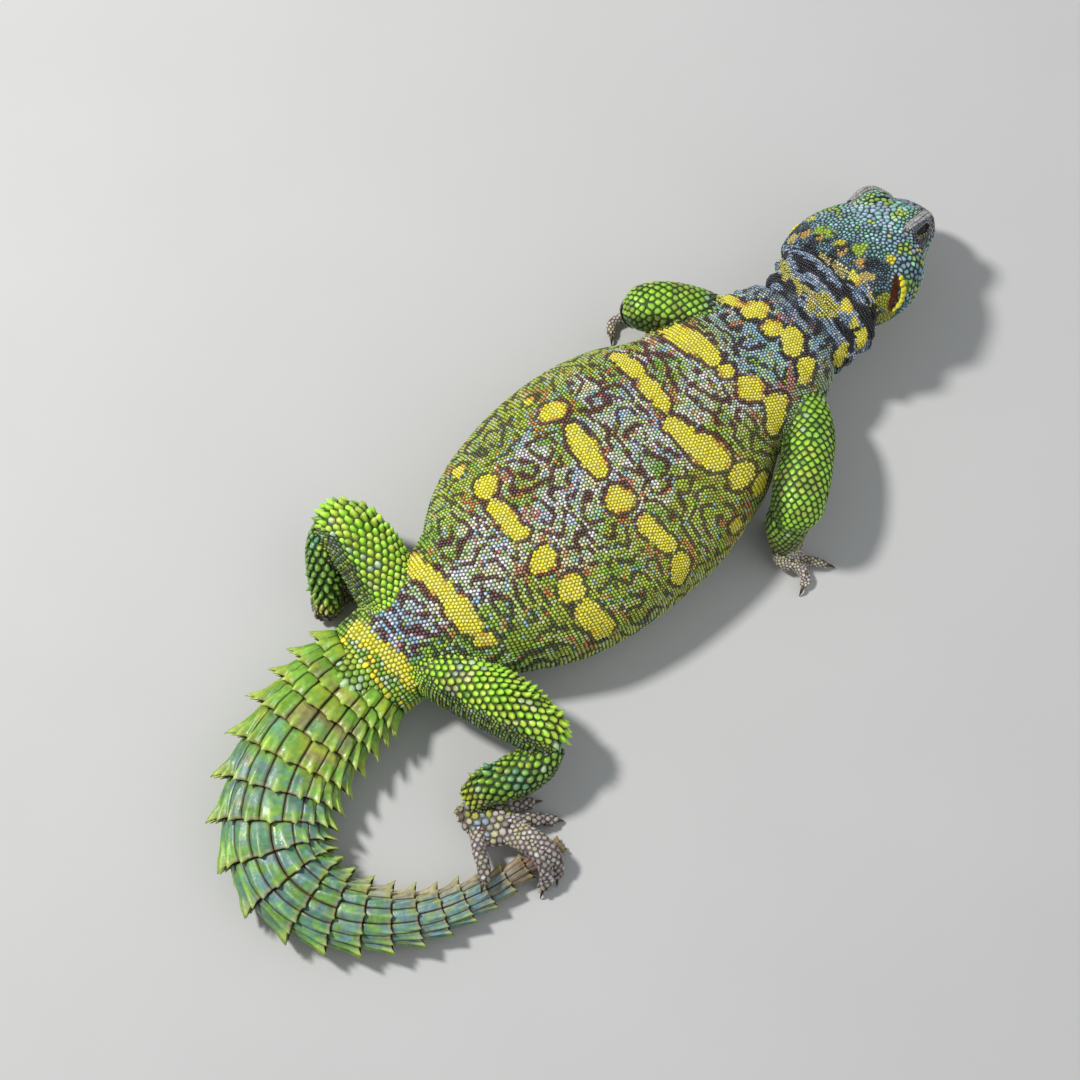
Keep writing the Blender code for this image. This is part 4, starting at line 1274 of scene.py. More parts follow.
# Yellow spots of the back, as bars from s, t to s, t with their half widths
SPOTS = [
    (58.5, 9.1, 60.5, 7.5, 2.4),
    (59.5, 1.6, 59.5, 1.6, 2.1),
    (61.2, -3.5, 59.8, -5.3, 2.6),
    (59.5, -11.0, 57.5, -13.6, 1.9),
    (57.0, 26.5, 58.2, 13.0, 1.3),
    (40.5, 24.4, 41.6, 11.0, 1.5, 2.4),
    (41.6, 11.0, 42.3, 4.6, 2.7, 2.0),
    (42.5, 0.3, 42.5, 0.3, 1.8),
    (44.5, -6.6, 44.5, -6.6, 3.4),
    (47.1, -14.2, 43.9, -18.2, 2.6),
    (24.7, 23.4, 26.3, 21.8, 1.6),
    (25.2, 18.6, 25.4, 15.4, 2.3),
    (25.2, 12.8, 24.8, 9.4, 1.9, 2.6),
    (24.8, 9.4, 23.9, 3.6, 2.6, 1.3),
    (22.7, -1.6, 23.6, -6.0, 2.2),
    (24.0, -8.0, 24.8, -12.0, 2.5, 3.2),
    (24.8, -12.0, 25.8, -15.6, 3.2, 2.6),
    (28.0, -22.1, 28.0, -22.1, 2.9),
    (31.1, -27.3, 29.9, -28.9, 2.0),
    (1.6, 21.2, 3.4, 19.8, 2.2),
    (1.0, 28.3, 1.0, 28.3, 1.3),
    (2.9, 12.4, 2.4, 8.0, 1.6, 2.6),
    (2.4, 8.0, 1.4, 0.8, 2.6, 1.7),
    (0.0, -8.1, 0.0, -8.1, 3.5),
    (1.5, -17.6, 2.9, -23.6, 2.9, 2.2),
    (3.2, -30.3, 0.8, -33.3, 2.5),
    (-23.0, 26.8, -23.0, 26.8, 2.0),
    (-21.6, 17.1, -22.4, 16.1, 2.6),
    (-23.5, 11.4, -23.4, 7.0, 1.7, 2.5),
    (-23.4, 7.0, -23.2, 2.4, 2.5, 1.9),
    (-23.5, -6.7, -23.5, -6.7, 3.2),
    (-22.5, -16.6, -22.5, -16.6, 3.0),
    (-23.3, -23.4, -22.2, -30.8, 2.6),
    (-49.4, 22.6, -48.6, 14.0, 1.9, 2.5),
    (-48.6, 14.0, -47.0, 6.0, 2.5, 1.7),
    (-47.0, 6.0, -45.2, -8.0, 1.9, 3.0),
    (-42.5, -14.6, -44.5, -13.0, 1.3),
    (21.0, -32.4, 21.0, -32.4, 1.8),
    (22.5, -40.0, 22.5, -40.0, 1.8),
    (75.8, -8.6, 75.8, -9.8, 1.2),
    (75.2, -12.2, 75.0, -13.4, 1.1),
    (75.0, -16.6, 74.6, -18.6, 1.2),
    (69.4, -15.0, 68.6, -17.4, 1.6),
    (81.6, -8.2, 81.4, -9.0, 1.1),
]
# Yellow band across the tail's root, and pale bands across the neck
ROOT_BAND = [(-67.6, 8.6, -66.4, 1.0, 1.9), (-66.4, 1.0, -64.4, -10.5, 1.9)]
CREAM_BANDS = [
    (76.4, 15.6, 72.2, 6.4, 1.5),
    (72.2, 6.4, 71.8, 0.2, 1.4),
    (71.8, 0.2, 73.0, -4.6, 1.5),
    (84.2, 9.6, 83.4, 6.2, 1.0),
    (82.6, 3.8, 82.2, 1.2, 1.0),
    (82.4, -2.6, 82.0, -4.8, 0.9),
    (82.8, -11.4, 83.2, -13.4, 1.0),
    (83.0, -15.6, 82.6, -17.2, 0.9),
]
# Black pouches at the right side of the neck, and an olive spot among the yellow ones
POUCHES = [(78.4, -7.0, 77.4, -14.0, 1.1), (78.0, -16.0, 77.6, -23.0, 1.4), (80.6, -19.0, 80.0, -26.0, 1.2)]
OLIVE_SPOTS = [(-37.5, -18.9, -37.5, -18.9, 3.0)]


def mix(one, other, share):
    return one + (other - one) * np.asarray(share)[..., None]


def from_marks(s, t, marks):
    """Distance of each point outside the nearest of some rounded bars.

    A bar's sixth number is the half width of its far end, where that differs.
    """
    best = np.full(len(s), 99.0)
    for s0, t0, s1, t1, half, *far in marks:
        span = max((s1 - s0) ** 2 + (t1 - t0) ** 2, 1e-6)
        share = np.clip(((s - s0) * (s1 - s0) + (t - t0) * (t1 - t0)) / span, 0, 1)
        size = half + share * (far[0] - half if far else 0)
        away = np.hypot(s - s0 - share * (s1 - s0), t - t0 - share * (t1 - t0)) - size
        best = np.minimum(best, away)
    return best


# Where the olive flanks start: s, then distance from the top line on the left and on the right
FLANK_EDGES = [
    (-71, 9, 8),
    (-58, 9.5, 5.5),
    (-47, 12.5, 6.0),
    (-40, 13.6, 5.5),
    (-30, 14.6, 9.5),
    (-21, 17.5, 12.2),
    (-12, 19.5, 15.0),
    (0, 22.5, 15.2),
    (10, 25.0, 14.0),
    (20, 26.5, 13.5),
    (35, 24.0, 13.5),
    (50, 18.0, 14.0),
]
WAVES = 9


def maze(s, t, length, seed):
    """Distance to the nearest of some winding lines: the zeros of a sum of waves in many directions."""
    draw = np.random.default_rng(seed)
    total, slope_s, slope_t = np.zeros(len(s)), np.zeros(len(s)), np.zeros(len(s))
    for k in range(WAVES):
        way = math.pi * (k + draw.uniform(-0.3, 0.3)) / WAVES
        turn = math.tau * (s * math.cos(way) + t * math.sin(way)) / length + draw.uniform(0, math.tau)
        total += np.cos(turn)
        slope_s -= np.sin(turn) * math.cos(way)
        slope_t -= np.sin(turn) * math.sin(way)
    slope = np.hypot(slope_s, slope_t)
    return np.abs(total) / np.maximum(slope, 0.3 * math.sqrt(WAVES / 2)) * length / math.tau


def pick(palette, value):
    """One of a list of colours for each value from 0 to 1."""
    index = (np.clip(value, 0, 0.999) * len(palette)).astype(int)
    return np.array(palette)[index]


def spread(field, draw, weight):
    """Values from 0 to 1 that follow a noise, loosened by a random draw for each scale."""
    return np.clip(0.5 + field + weight * (draw - 0.5), 0, 1)


def flecked(colours, chances, rng):
    """Single scales here and there in other colours."""
    draw = rng.random(len(colours))
    low = 0.0
    for colour, chance in chances:
        hit = (draw >= low) & (draw < low + chance)
        colours[hit] = mix(colours[hit], colour, 0.85)
        low = low + chance
    return colours


def body_marking(roots, rng):
    """Trunk and neck: pale beads among dark winding lines, olive flanks, and rows of yellow spots across."""
    s, t, q = roots.data.T
    flat = np.stack([s, t, 0 * t], 1)
    loose, other = rng.random(len(s)), rng.random(len(s))
    front = soft_step(36, 54, s + 5 * noise(flat, 9, 3))
    neck = soft_step(64, 70, s + 2.5 * noise(flat, 5, 19))
    rear = soft_step(-48, -60, s + 3 * noise(flat, 6, 25))
    blend = spread(0.5 * noise(flat, 4, 4), loose, 0.45)
    field = pick([PALE_BLUE, LILAC, MINT, WHITE * 0.9, PALE_CREAM, MINT, PALE_CREAM], blend)
    cool = pick([STEEL, LILAC, SLATE, PALE_BLUE, PALE_SKY, MINT], blend)
    field = mix(field, cool, 0.85 * front)
    field = mix(field, pick([PALE_BLUE, LILAC, PALE_SKY, PALE_BLUE, MINT], blend), rear)
    places, left, right = np.array(FLANK_EDGES).T
    beyond = np.where(t > 0, t - np.interp(s, places, left), -t - np.interp(s, places, right))
    side = soft_step(-0.8, 1.2, beyond + 2.6 * noise(flat, 5, 9) + 1.6 * (loose - 0.5))
    patch = noise(flat, np.array((6.5, 9.0, 1.0)), 6) + 0.3 * noise(flat, 2.6, 26)
    green = soft_step(0.0, 0.15, patch + 0.2 * (loose - 0.5) + 0.2 * bump(t, -15, 5))
    green = green * soft_step(3.5, 8, np.abs(t)) * (1 - 0.8 * front)
    leafy = spread(0.5 * noise(flat, 4, 7), other, 0.5)
    field = mix(field, pick([GRASS, OLIVE_YELLOW, SPRING, MINT, GRASS], leafy), green)
    olives = [OLIVE * 1.3, OLIVE_YELLOW * 1.2, SPRING * 1.1, PALE_CREAM * 0.8, OLIVE_YELLOW * 1.1, GRASS]
    hip = pick([GRASS, MINT, SPRING, GRASS * 0.8, GRASS], leafy)
    flank = mix(pick(olives, leafy), hip, soft_step(-30, -42, s))
    field = mix(field, flank, side * (1 - 0.6 * front))
    edge = 0.35 * noise(flat, 1.3, 14) + 0.65 * noise(flat, 3.6, 15)
    spot = from_marks(s, t, SPOTS) + edge
    band = from_marks(s, t, ROOT_BAND) + edge
    winding = maze(s + 1.4 * noise(flat, 4, 27), 0.65 * t + 1.2 * noise(flat, 4, 28), 5.3, 12)
    lines = 1 - winding / (0.7 + 0.3 * noise(flat, 3.5, 37))
    rings = np.cos(math.tau * (spot - 0.8) / 3.0) - 0.05
    near = np.exp(-np.maximum(spot - 0.8, 0) / 2.0)
    lines = mix(lines[:, None], rings[:, None], np.clip(near, 0, 1))[:, 0]
    lines = lines + 0.3 * (loose - 0.5) + 0.1 * rear - 0.18 * side - 0.25 * bump(t, 2, 3.5) * (1 - front)
    lines = lines + 0.35 * bump(s, -38, 9) * bump(t, -19, 8)
    dark = soft_step(0.0, 0.3, lines)
    line = pick([MAROON, MAROON * 0.8, MAROON * 1.4, MAROON * 0.55], other)
    navy = side * (0.45 + 0.5 * soft_step(5, -20, s))
    line = mix(line, NAVY * 0.8, np.maximum(0.7 * front, navy) * (other < 0.85))
    colours = mix(field, line, (0.95 - 0.05 * side) * dark)
    warm = (spot > 1.2) & (spot < 3.8) & (noise(flat, 2.6, 16) > 0.3) & (loose > 0.35)
    colours = mix(colours, mix(ORANGE, MAROON, 0.35 * other), 0.75 * warm * (1 - dark))
    # Painted shade: the neck's scales go navy and black in the creases of its wrinkles, together with noise
    # blotches of its own dark skin
    crease = bump(neck_fold(s - TRUNK_START - body.trunk_end, roots.angle), 0.0, NECK_WRINKLE)
    crease_shade = 2.3 * crease - 1.12 + 0.3 * noise(flat, 1.7, 30) + 0.35 * noise(flat, 5, 29)
    crease_shade = crease_shade + 0.5 * bump(t, -12, 6) - 0.1 * bump(t, 4, 7)
    deep = soft_step(-0.15, 0.15, crease_shade + 0.5 * (loose - 0.5))
    blues = [FOLD_BLUE * 1.2, SLATE * 1.2, FOLD_BLUE * 1.5, LAVENDER * 1.1, SLATE * 0.7, LILAC * 0.9]
    colours = mix(colours, mix(pick(blues, other), pick([NAVY, BLACK, NAVY * 1.6], loose), deep), neck)
    pouch = from_marks(s, t, POUCHES) + 2 * edge
    colours = mix(colours, BLACK, 0.95 * soft_step(0.6, -0.3, pouch))
    rim = (spot > -0.6) & (noise(flat, 1.8, 20) > 0.5)
    gold = mix(YELLOW, pick([YELLOW, PALE_CREAM, YELLOW, PALE_CREAM], other), 0.35)
    colours = mix(colours, mix(gold, ORANGE, 0.6 * rim), soft_step(0.35, 0.05, spot))
    straws = spread(0.4 * noise(flat, 1.6, 36), other, 0.7)
    straw = pick([CREAM, JAW_YELLOW * 1.1, PALE_CREAM, CREAM * 0.7], straws)
    cream = from_marks(s, t, CREAM_BANDS) + 2.0 * edge + 1.3 * noise(flat, 1.7, 34)
    colours = mix(colours, straw, soft_step(0.5, 0.0, cream))
    root = soft_step(0.0, -1.2, s + 66.1 + 0.165 * t + 1.2 * edge)
    colours = mix(colours, pick([SPRING, MINT, GRASS, YELLOW * 0.9, GRASS, TAIL_GREEN], other), root)
    colours = mix(colours, mix(gold, SPRING, 0.35 * (other < 0.4)), soft_step(0.4, 0.0, band))
    moss = from_marks(s, t, OLIVE_SPOTS) + edge
    colours = mix(colours, MOSS, 0.8 * soft_step(0.5, 0.0, moss))
    belly = soft_step(0.62, 0.74, q + 0.03 * noise(flat, 6, 17))
    colours = mix(colours, mix(BELLY_PALE, MINT, soft_step(-0.5, 0.5, noise(flat, 14, 18))), belly)
    free = (spot > 0.5) & (band > 0.5) & (neck < 0.5) & (root < 0.5)
    vivid = flecked(colours.copy(), [(ORANGE, 0.008), (GRASS, 0.02), (PALE_SKY, 0.035), (SPRING, 0.04)], rng)
    colours = mix(colours, vivid, free)
    seam = mix(MAROON * 0.4, NAVY * 0.35, front)
    seam = mix(seam, OLIVE * 0.25, side)
    seam = mix(seam, BLACK, neck)
    seam = mix(seam, OLIVE_YELLOW * 0.8, soft_step(0.3, -0.3, np.minimum(spot, band)))
    return colours, mix(seam, BELLY_PALE * 0.45, belly)


# Patches of the head in other colours: place on the head, reach and colour. Those more than PAIRED to the
# left are on both sides
PAIRED = 4
HEAD_PATCHES = [
    (-3.5, 3.5, 10.2, 1.6, SPRING),
    (-4.6, -1.0, 10.2, 1.6, YELLOW * 0.85),
    (-3.6, 6.2, 10.0, 2.1, SPRING),
    (5.7, -1.8, 10.6, 1.3, SPRING),
    (15.9, 1.9, 9.0, 1.5, SPRING),
    (13.2, 4.6, 10.5, 1.9, SPRING),
    (5.4, 13.3, 7.3, 2.3, SPRING),
    (0.2, 13.6, 7.8, 1.5, YELLOW * 0.9),
    (1.0, 18.0, 1.0, 1.9, GRASS),
    (3.4, 17.4, -1.8, 1.6, JAW_YELLOW),
    (10.4, 13.7, 4.8, 1.5, CREAM),
    (13.4, 12.2, 2.6, 1.7, CREAM),
    (7.6, 15.6, 3.2, 1.4, JAW_YELLOW),
    (-7.8, 12.6, 7.0, 1.9, CREAM),
    (-6.4, 4.6, 10.4, 1.4, WARM_CREAM),
    (-7.4, -3.6, 10.4, 1.6, WARM_CREAM),
    (-6.6, 9.6, 9.0, 1.5, WARM_CREAM),
    (-6.8, 16.7, 0.6, 2.3, JAW_YELLOW),
    (-6.2, 17.0, -5.0, 2.9, JAW_YELLOW),
]


def brow_share(place):
    """How far from the brow ridge's middle line a place on the head is, as a share of its size."""
    rows = smooth_rows(BROW, 24)
    away = np.linalg.norm(place[:, None] - rows[None, :, :3], axis=2)
    near = away.argmin(1)
    return away[np.arange(len(place)), near] / (rows[near, 3] + 0.25)


def head_marking(roots, rng):
    """Head: turquoise and yellow-green shields on black, a lavender crown, and a grey brow and snout."""
    whole, place = roots.data, folded(roots.data)
    ahead, wide, up = place.T
    loose, other = rng.random(len(ahead)), rng.random(len(ahead))
    blotch = noise(whole, 3.4, 21)
    fine = noise(whole, 1.7, 22)
    washed = mix(AQUA, GRANULE, 0.25)
    cool = [
        washed, PALE_AQUA * 0.85, SLATE * 1.35, PALE_AQUA,
        LAVENDER * 1.1, washed * 0.75, SEA_GREEN * 1.1, PALE_AQUA * 0.7,
    ]
    colours = pick(cool, spread(0.3 * blotch, loose, 0.8))
    colours = colours * (0.8 + 0.6 * rng.random(len(ahead)))[:, None]
    green = soft_step(0.48, 0.58, noise(whole, 2.6, 23) + 0.5 * (other - 0.5))
    colours = mix(colours, pick([SPRING, GRASS, SPRING, JAW_YELLOW], loose), 0.85 * green)
    nape = pick([NAPE_BLUE * 1.4, SLATE, NAVY * 1.8, AQUA * 0.8, NAVY, SLATE * 1.2], other)
    colours = mix(colours, nape, 0.8 * soft_step(0.5, -5.5, ahead + 2.0 * fine))
    ink = soft_step(0.05, 0.35, noise(whole, 2.8, 25) + 0.3 * (loose - 0.5)) * soft_step(0.5, -4.5, ahead)
    colours = mix(colours, NAVY * 0.7, 0.85 * ink)
    crown = np.linalg.norm((place - (10.2, 2.0, 10.2)) / (5.6, 3.6, 3.0), axis=1)
    pale = pick([LAVENDER * 1.2, LAVENDER * 1.35, PALE_BLUE, PALE_AQUA], other)
    colours = mix(colours, pale, 0.9 * soft_step(1.15, 0.85, crown + 0.25 * fine))
    bridge = np.linalg.norm((place - (8.2, 6.6, 9.8)) / (3.4, 2.2, 2.4), axis=1)
    colours = mix(colours, pick([LILAC, PALE_BLUE, PALE_AQUA, LAVENDER], loose), soft_step(1.2, 0.9, bridge))
    dome = np.linalg.norm((place - DOME) / (6.0, 3.6, 4.4), axis=1)
    top = pick([PALE_AQUA, AQUA * 1.1, MINT, MINT, SEA_GREEN * 1.4], spread(0.5 * fine, loose, 0.6))
    colours = mix(colours, top, 0.9 * soft_step(1.2, 0.95, dome))
    temple = np.linalg.norm((place - TEMPLE) / TEMPLE_SIZE, axis=1)
    dusk = pick([NAVY, NAVY * 1.6, SLATE * 0.7, BLACK], other)
    colours = mix(colours, dusk, 0.55 * soft_step(1.2, 0.8, temple + 0.2 * fine))
    seams = np.tile(BLACK * 1.2, (len(ahead), 1))
    for x, y, z, size, shade in HEAD_PATCHES:
        away = np.linalg.norm(np.where(y > PAIRED, place, whole) - (x, y, z), axis=1) + 0.5 * fine
        hit = (away < size) & (loose < 0.9)
        colours[hit] = mix(colours, pick([shade, shade, shade * 0.85, shade], other), 0.92)[hit]
        seams[hit] = mix(seams, shade, 0.45 * soft_step(4.0, 0.0, ahead))[hit]
    snout = soft_step(18.5, 21.0, ahead)
    colours = mix(colours, mix(SNOUT_GREY, LAVENDER, soft_step(-0.4, 0.6, blotch)), snout)
    eye = np.linalg.norm((place - (13.6, 7.6, 5.0)) * (0.82, 0.6, 1), axis=1)
    ring = soft_step(4.9, 4.2, eye) * (up < EYE[2] + 2.8)
    fold = soft_step(-0.3, 0.4, noise(whole, np.array((2.2, 1.2, 1.2)), 24))
    colours = mix(colours, mix(SNOUT_GREY * 0.2, PINK_GREY * 0.42, fold), ring)
    lid = np.minimum(eye_share(whole, 1), eye_share(whole, -1))
    lid_edge = soft_step(1.9, 1.6, lid) * (wide > EYE[1] + 2.0) * (up < 5.8)
    colours = mix(colours, PALE_CREAM * 0.5, 0.8 * lid_edge)
    brow = brow_share(place)
    bone = pick([GRANULE, SNOUT_GREY, LAVENDER, GRANULE * 1.1], other)
    colours = mix(colours, bone, 0.95 * soft_step(1.3, 1.0, brow))
    jaw = soft_step(-1.8, -3.6, up) * soft_step(2, 8, ahead)
    lip = pick([CREAM, JAW_YELLOW, SNOUT_GREY, SPRING, CREAM], other)
    colours = mix(colours, lip, 0.8 * jaw)
    throat = soft_step(-7.0, -10.0, up)
    colours = mix(colours, mix(BELLY_PALE, JAW_YELLOW, 0.4), 0.85 * throat)
    return colours, mix(seams, SNOUT_GREY * 0.15, np.maximum(snout, soft_step(1.3, 1.0, brow)))


# Greens of each kind of limb part
LIMB_GREENS = {
    "thigh": [LIME * 1.3, SPRING * 1.2, LIME * 1.5, SPRING * 1.35, MINT],
    "shank": [LIME * 0.8, GRASS * 0.75, LIME * 0.9, SPRING * 0.8],
    "upper": [GRASS * 1.3, LIME * 1.2, LIME * 1.15, SPRING * 1.1],
    "forearm": [GRASS * 0.85, LIME * 0.75, GRASS * 0.7, SPRING * 0.7],
}


def limb_marking(name, roots, rng):
    """Legs: bright lime with painted shade low down and inside the arms, dark in the bends, and granular
    grey and teal places on the hind legs.
    """
    share, inward, upward = roots.data.T
    kind = name.split("_")[0]
    blotch = noise(roots.place, 5.0, 31)
    loose = rng.random(len(share))
    colours = pick(LIMB_GREENS[kind], spread(0.35 * blotch, loose, 0.35))
    seams = np.tile(BLACK, (len(share), 1))
    # Painted shade: each limb goes darker olive-green below its middle, towards its underside
    colours = mix(colours, mix(OLIVE, DARK_GREEN, 0.4), 0.6 * soft_step(0.0, -0.5, upward))
    colours = mix(colours, BELLY_PALE, 0.6 * soft_step(-0.5, -0.9, upward))
    if kind in ("upper", "forearm"):
        # Painted shade on the arms' inner sides, towards the body
        colours = mix(colours, DARK_GREEN * 0.6, 0.85 * soft_step(0.45, 0.8, inward + 0.15 * blotch))
        dull = soft_step(0.1, 0.5, noise(roots.place, 3.0, 36)) * (share > 0.5)
        colours = mix(colours, OLIVE * 0.8, 0.6 * dull)
    if kind == "forearm":
        colours = mix(colours, OLIVE * 0.6, soft_step(0.2, 0.9, share))
    if name == "upper_arm_left":
        bend = soft_step(0.5, 0.3, share + 0.1 * blotch)
        colours = mix(colours, pick([SLATE, NAVY, SLATE * 0.6, GRASS], loose), bend)
    if kind == "thigh":
        grey = soft_step(0.25, 0.45, noise(roots.place, 3.0, 34) + 0.2 * (loose - 0.5)) * (roots.pitch < 1.9)
        colours = mix(colours, pick([GRANULE, PINK_GREY, PALE_CREAM, GRANULE], loose), 0.6 * grey)
        # The fine granules at the thigh's rear and root go dark: partly their own colour, partly painted
        # shade in the bends
        small = soft_step(1.45, 1.1, roots.pitch) * soft_step(0.1, 0.3, share)
        darks = [NAVY, OLIVE * 0.7, DARK_GREEN, SLATE * 0.5, OLIVE]
        colours = mix(colours, pick(darks, loose), 0.85 * small)
    if kind == "shank":
        teal = soft_step(0.05, 0.4, noise(roots.place, 4.0, 35)) * soft_step(0.9, 0.6, share)
        colours = mix(colours, TEAL, 0.6 * teal)
        ankle = soft_step(0.7, 0.95, share)
        colours = mix(colours, pick([JAW_YELLOW, CREAM, OLIVE_YELLOW], loose), 0.75 * ankle)
        # The fine granules low on the shank and at the ankle go dark: partly their own colour, partly
        # painted shade in the bends
        small = soft_step(1.3, 1.05, roots.pitch)
        colours = mix(colours, pick([NAVY, GRANULE * 0.7, OLIVE * 0.6], loose), 0.7 * small)
    return flecked(colours, [(SPRING, 0.05), (GRASS * 0.7, 0.05), (MINT * 0.9, 0.02)], rng), seams


def foot_marking(name, roots, rng):
    """Hands and feet: pale pinkish granules, with yellow and grey domes over the hind feet."""
    share, number, _ = roots.data.T
    hind = name.startswith("foot")
    loose = rng.random(len(share))
    palm = number == 0
    blend = spread(0.35 * noise(roots.place, 1.5, 41), loose, 0.6)
    colours = pick([PALE_SKIN, PALE_SKIN, PALE_CREAM, PALE_GREY, PALE_SKIN * 0.85], blend)
    if hind:
        gold = (noise(roots.place, 3.0, 42) + 0.8 * (loose - 0.5)) > -0.05
        domes = pick([CREAM, JAW_YELLOW * 1.1, OLIVE_YELLOW, GRANULE, PALE_BLUE * 0.8], loose)
        colours = mix(colours, domes, 0.9 * gold * palm)
        toes = pick([LILAC * 0.8, PINK_GREY, GRANULE, PALE_GREY, PINK_GREY * 0.8], loose)
        colours = mix(colours, toes, 0.7 * ~palm * soft_step(-0.1, 0.5, share))
        colours = mix(colours, CREAM, 0.6 * ~palm * gold * soft_step(0.35, 0.1, share))
    else:
        wrist = palm * soft_step(0.5, 0.1, share)
        colours = mix(colours, pick([OLIVE, MOSS, PALE_GREY], loose), 0.6 * wrist)
    colours = mix(colours, PINK_GREY * 0.7, 0.5 * soft_step(0.35, 0.6, noise(roots.place, 1.8, 43)))
    seams = np.tile(mix(BROWN, PINK_GREY, 0.5) * 0.5, (len(share), 1))
    colours = colours * (0.78 if hind else 0.95)
    return flecked(colours, [(BROWN, 0.04), (WHITE * 0.7, 0.06)], rng), seams


def tail_marking(run, angle, keel):
    """Tail: green at the root, blue-green on top, yellow-green keels, a beige inner side and a tan tip."""
    upward = np.sin(angle)
    share = run / tail.length
    spot = np.stack([run, angle * 9, 0 * run], 1)
    fine = noise(spot, 1.5, 57)
    teal = soft_step(0.14, 0.34, share + 0.1 * noise(spot, 5, 51))
    teal = teal * soft_step(-0.2, 0.6, upward + 0.4 * noise(spot, 3, 54))
    base = mix(TAIL_GREEN, SPRING * 0.8, soft_step(0.0, 0.6, noise(spot, 3.0, 58)))
    base = base * (0.85 - 0.15 * soft_step(0.1, 0.5, share))[:, None]
    blue = mix(BLUE_GREEN, SLATE * 0.8, 0.5)
    sea = mix(SEA_GREEN * 0.8, blue, soft_step(-0.3, 0.4, noise(spot, 2.6, 55)))
    sea = mix(sea, TAIL_GREEN * 0.85, 0.8 * soft_step(0.05, 0.35, fine))
    sea = mix(sea, SLATE * 0.55, 0.6 * soft_step(0.35, 0.6, noise(spot, 1.9, 64)))
    colours = mix(base, sea, 0.9 * teal)
    grey = soft_step(0.55, 0.8, share + 0.06 * noise(spot, 3, 65))
    colours = mix(colours, mix(SLATE, GRANULE * 0.9, soft_step(-0.4, 0.4, fine)), 0.55 * grey)
    scarred = soft_step(0.5, 0.95, upward) * soft_step(0.16, 0.44, noise(spot, 4.2, 52))
    scarred = scarred * soft_step(0.42, 0.26, share) * soft_step(0.05, 0.08, share)
    patch = pick([OLIVE_YELLOW, SCAR, TAN, SCAR], 0.5 + 0.6 * noise(spot, 2.2, 53))
    colours = mix(colours, patch, 0.6 * scarred)
    crest = 0.7 * keel * soft_step(-0.4, 0.1, upward) * soft_step(1.0, 0.7, share)
    colours = mix(colours, SPRING * 0.95, crest * (1 - 0.6 * soft_step(0.2, 0.45, share)))
    inner = soft_step(0.35, 0.85, -np.cos(angle)) * soft_step(0.5, 0.68, share)
    colours = mix(colours, mix(CREAM * 0.8, PINK_GREY, 0.5), 0.8 * inner)
    colours = mix(colours, mix(BELLY_PALE, TAN, 0.5), 0.8 * soft_step(-0.3, -0.75, upward))
    return mix(colours, TAN * 0.9, 0.9 * soft_step(0.8, 0.95, share + 0.04 * fine))


def whorl_runs():
    """Where each ring of scutes on the tail starts and ends."""
    ends = np.cumsum(WHORL_LENGTHS) * tail.length / sum(WHORL_LENGTHS)
    return list(zip(np.concatenate([[0], ends[:-1]]), ends))


def top_gap(run):
    """Half angle of the zone on top of the tail's root that has small plates and no scutes."""
    return math.radians(float(looked_up(TOP_GAP, run)))


# Length of the longest points, and the share of it at places along the tail
SPINE_LENGTH = 4.0
SPINE_SHARES = [(0, 0.6), (0.08, 0.8), (0.3, 0.95), (0.42, 0.8), (0.55, 0.65), (0.75, 0.5), (1.0, 0.3)]
# A scute's rows of points as shares of its length, and its columns
SCUTE_ROWS = (0, 0.1, 0.26, 0.44, 0.6, 0.7, 0.79, 0.87, 0.94, 1)
SCUTE_COLUMNS = 11


def spine_length(angle, share):
    """Length of a scute's point: longest at the sides, short on top, none under the tail."""
    upward = math.sin(angle)
    length = math.exp(-(((upward - 0.14) / 0.55) ** 2)) + 0.2 * max(upward, 0)
    length = length * float(looked_up(SPINE_SHARES, share))
    return SPINE_LENGTH * min(1.0, length) * (upward > -0.45)


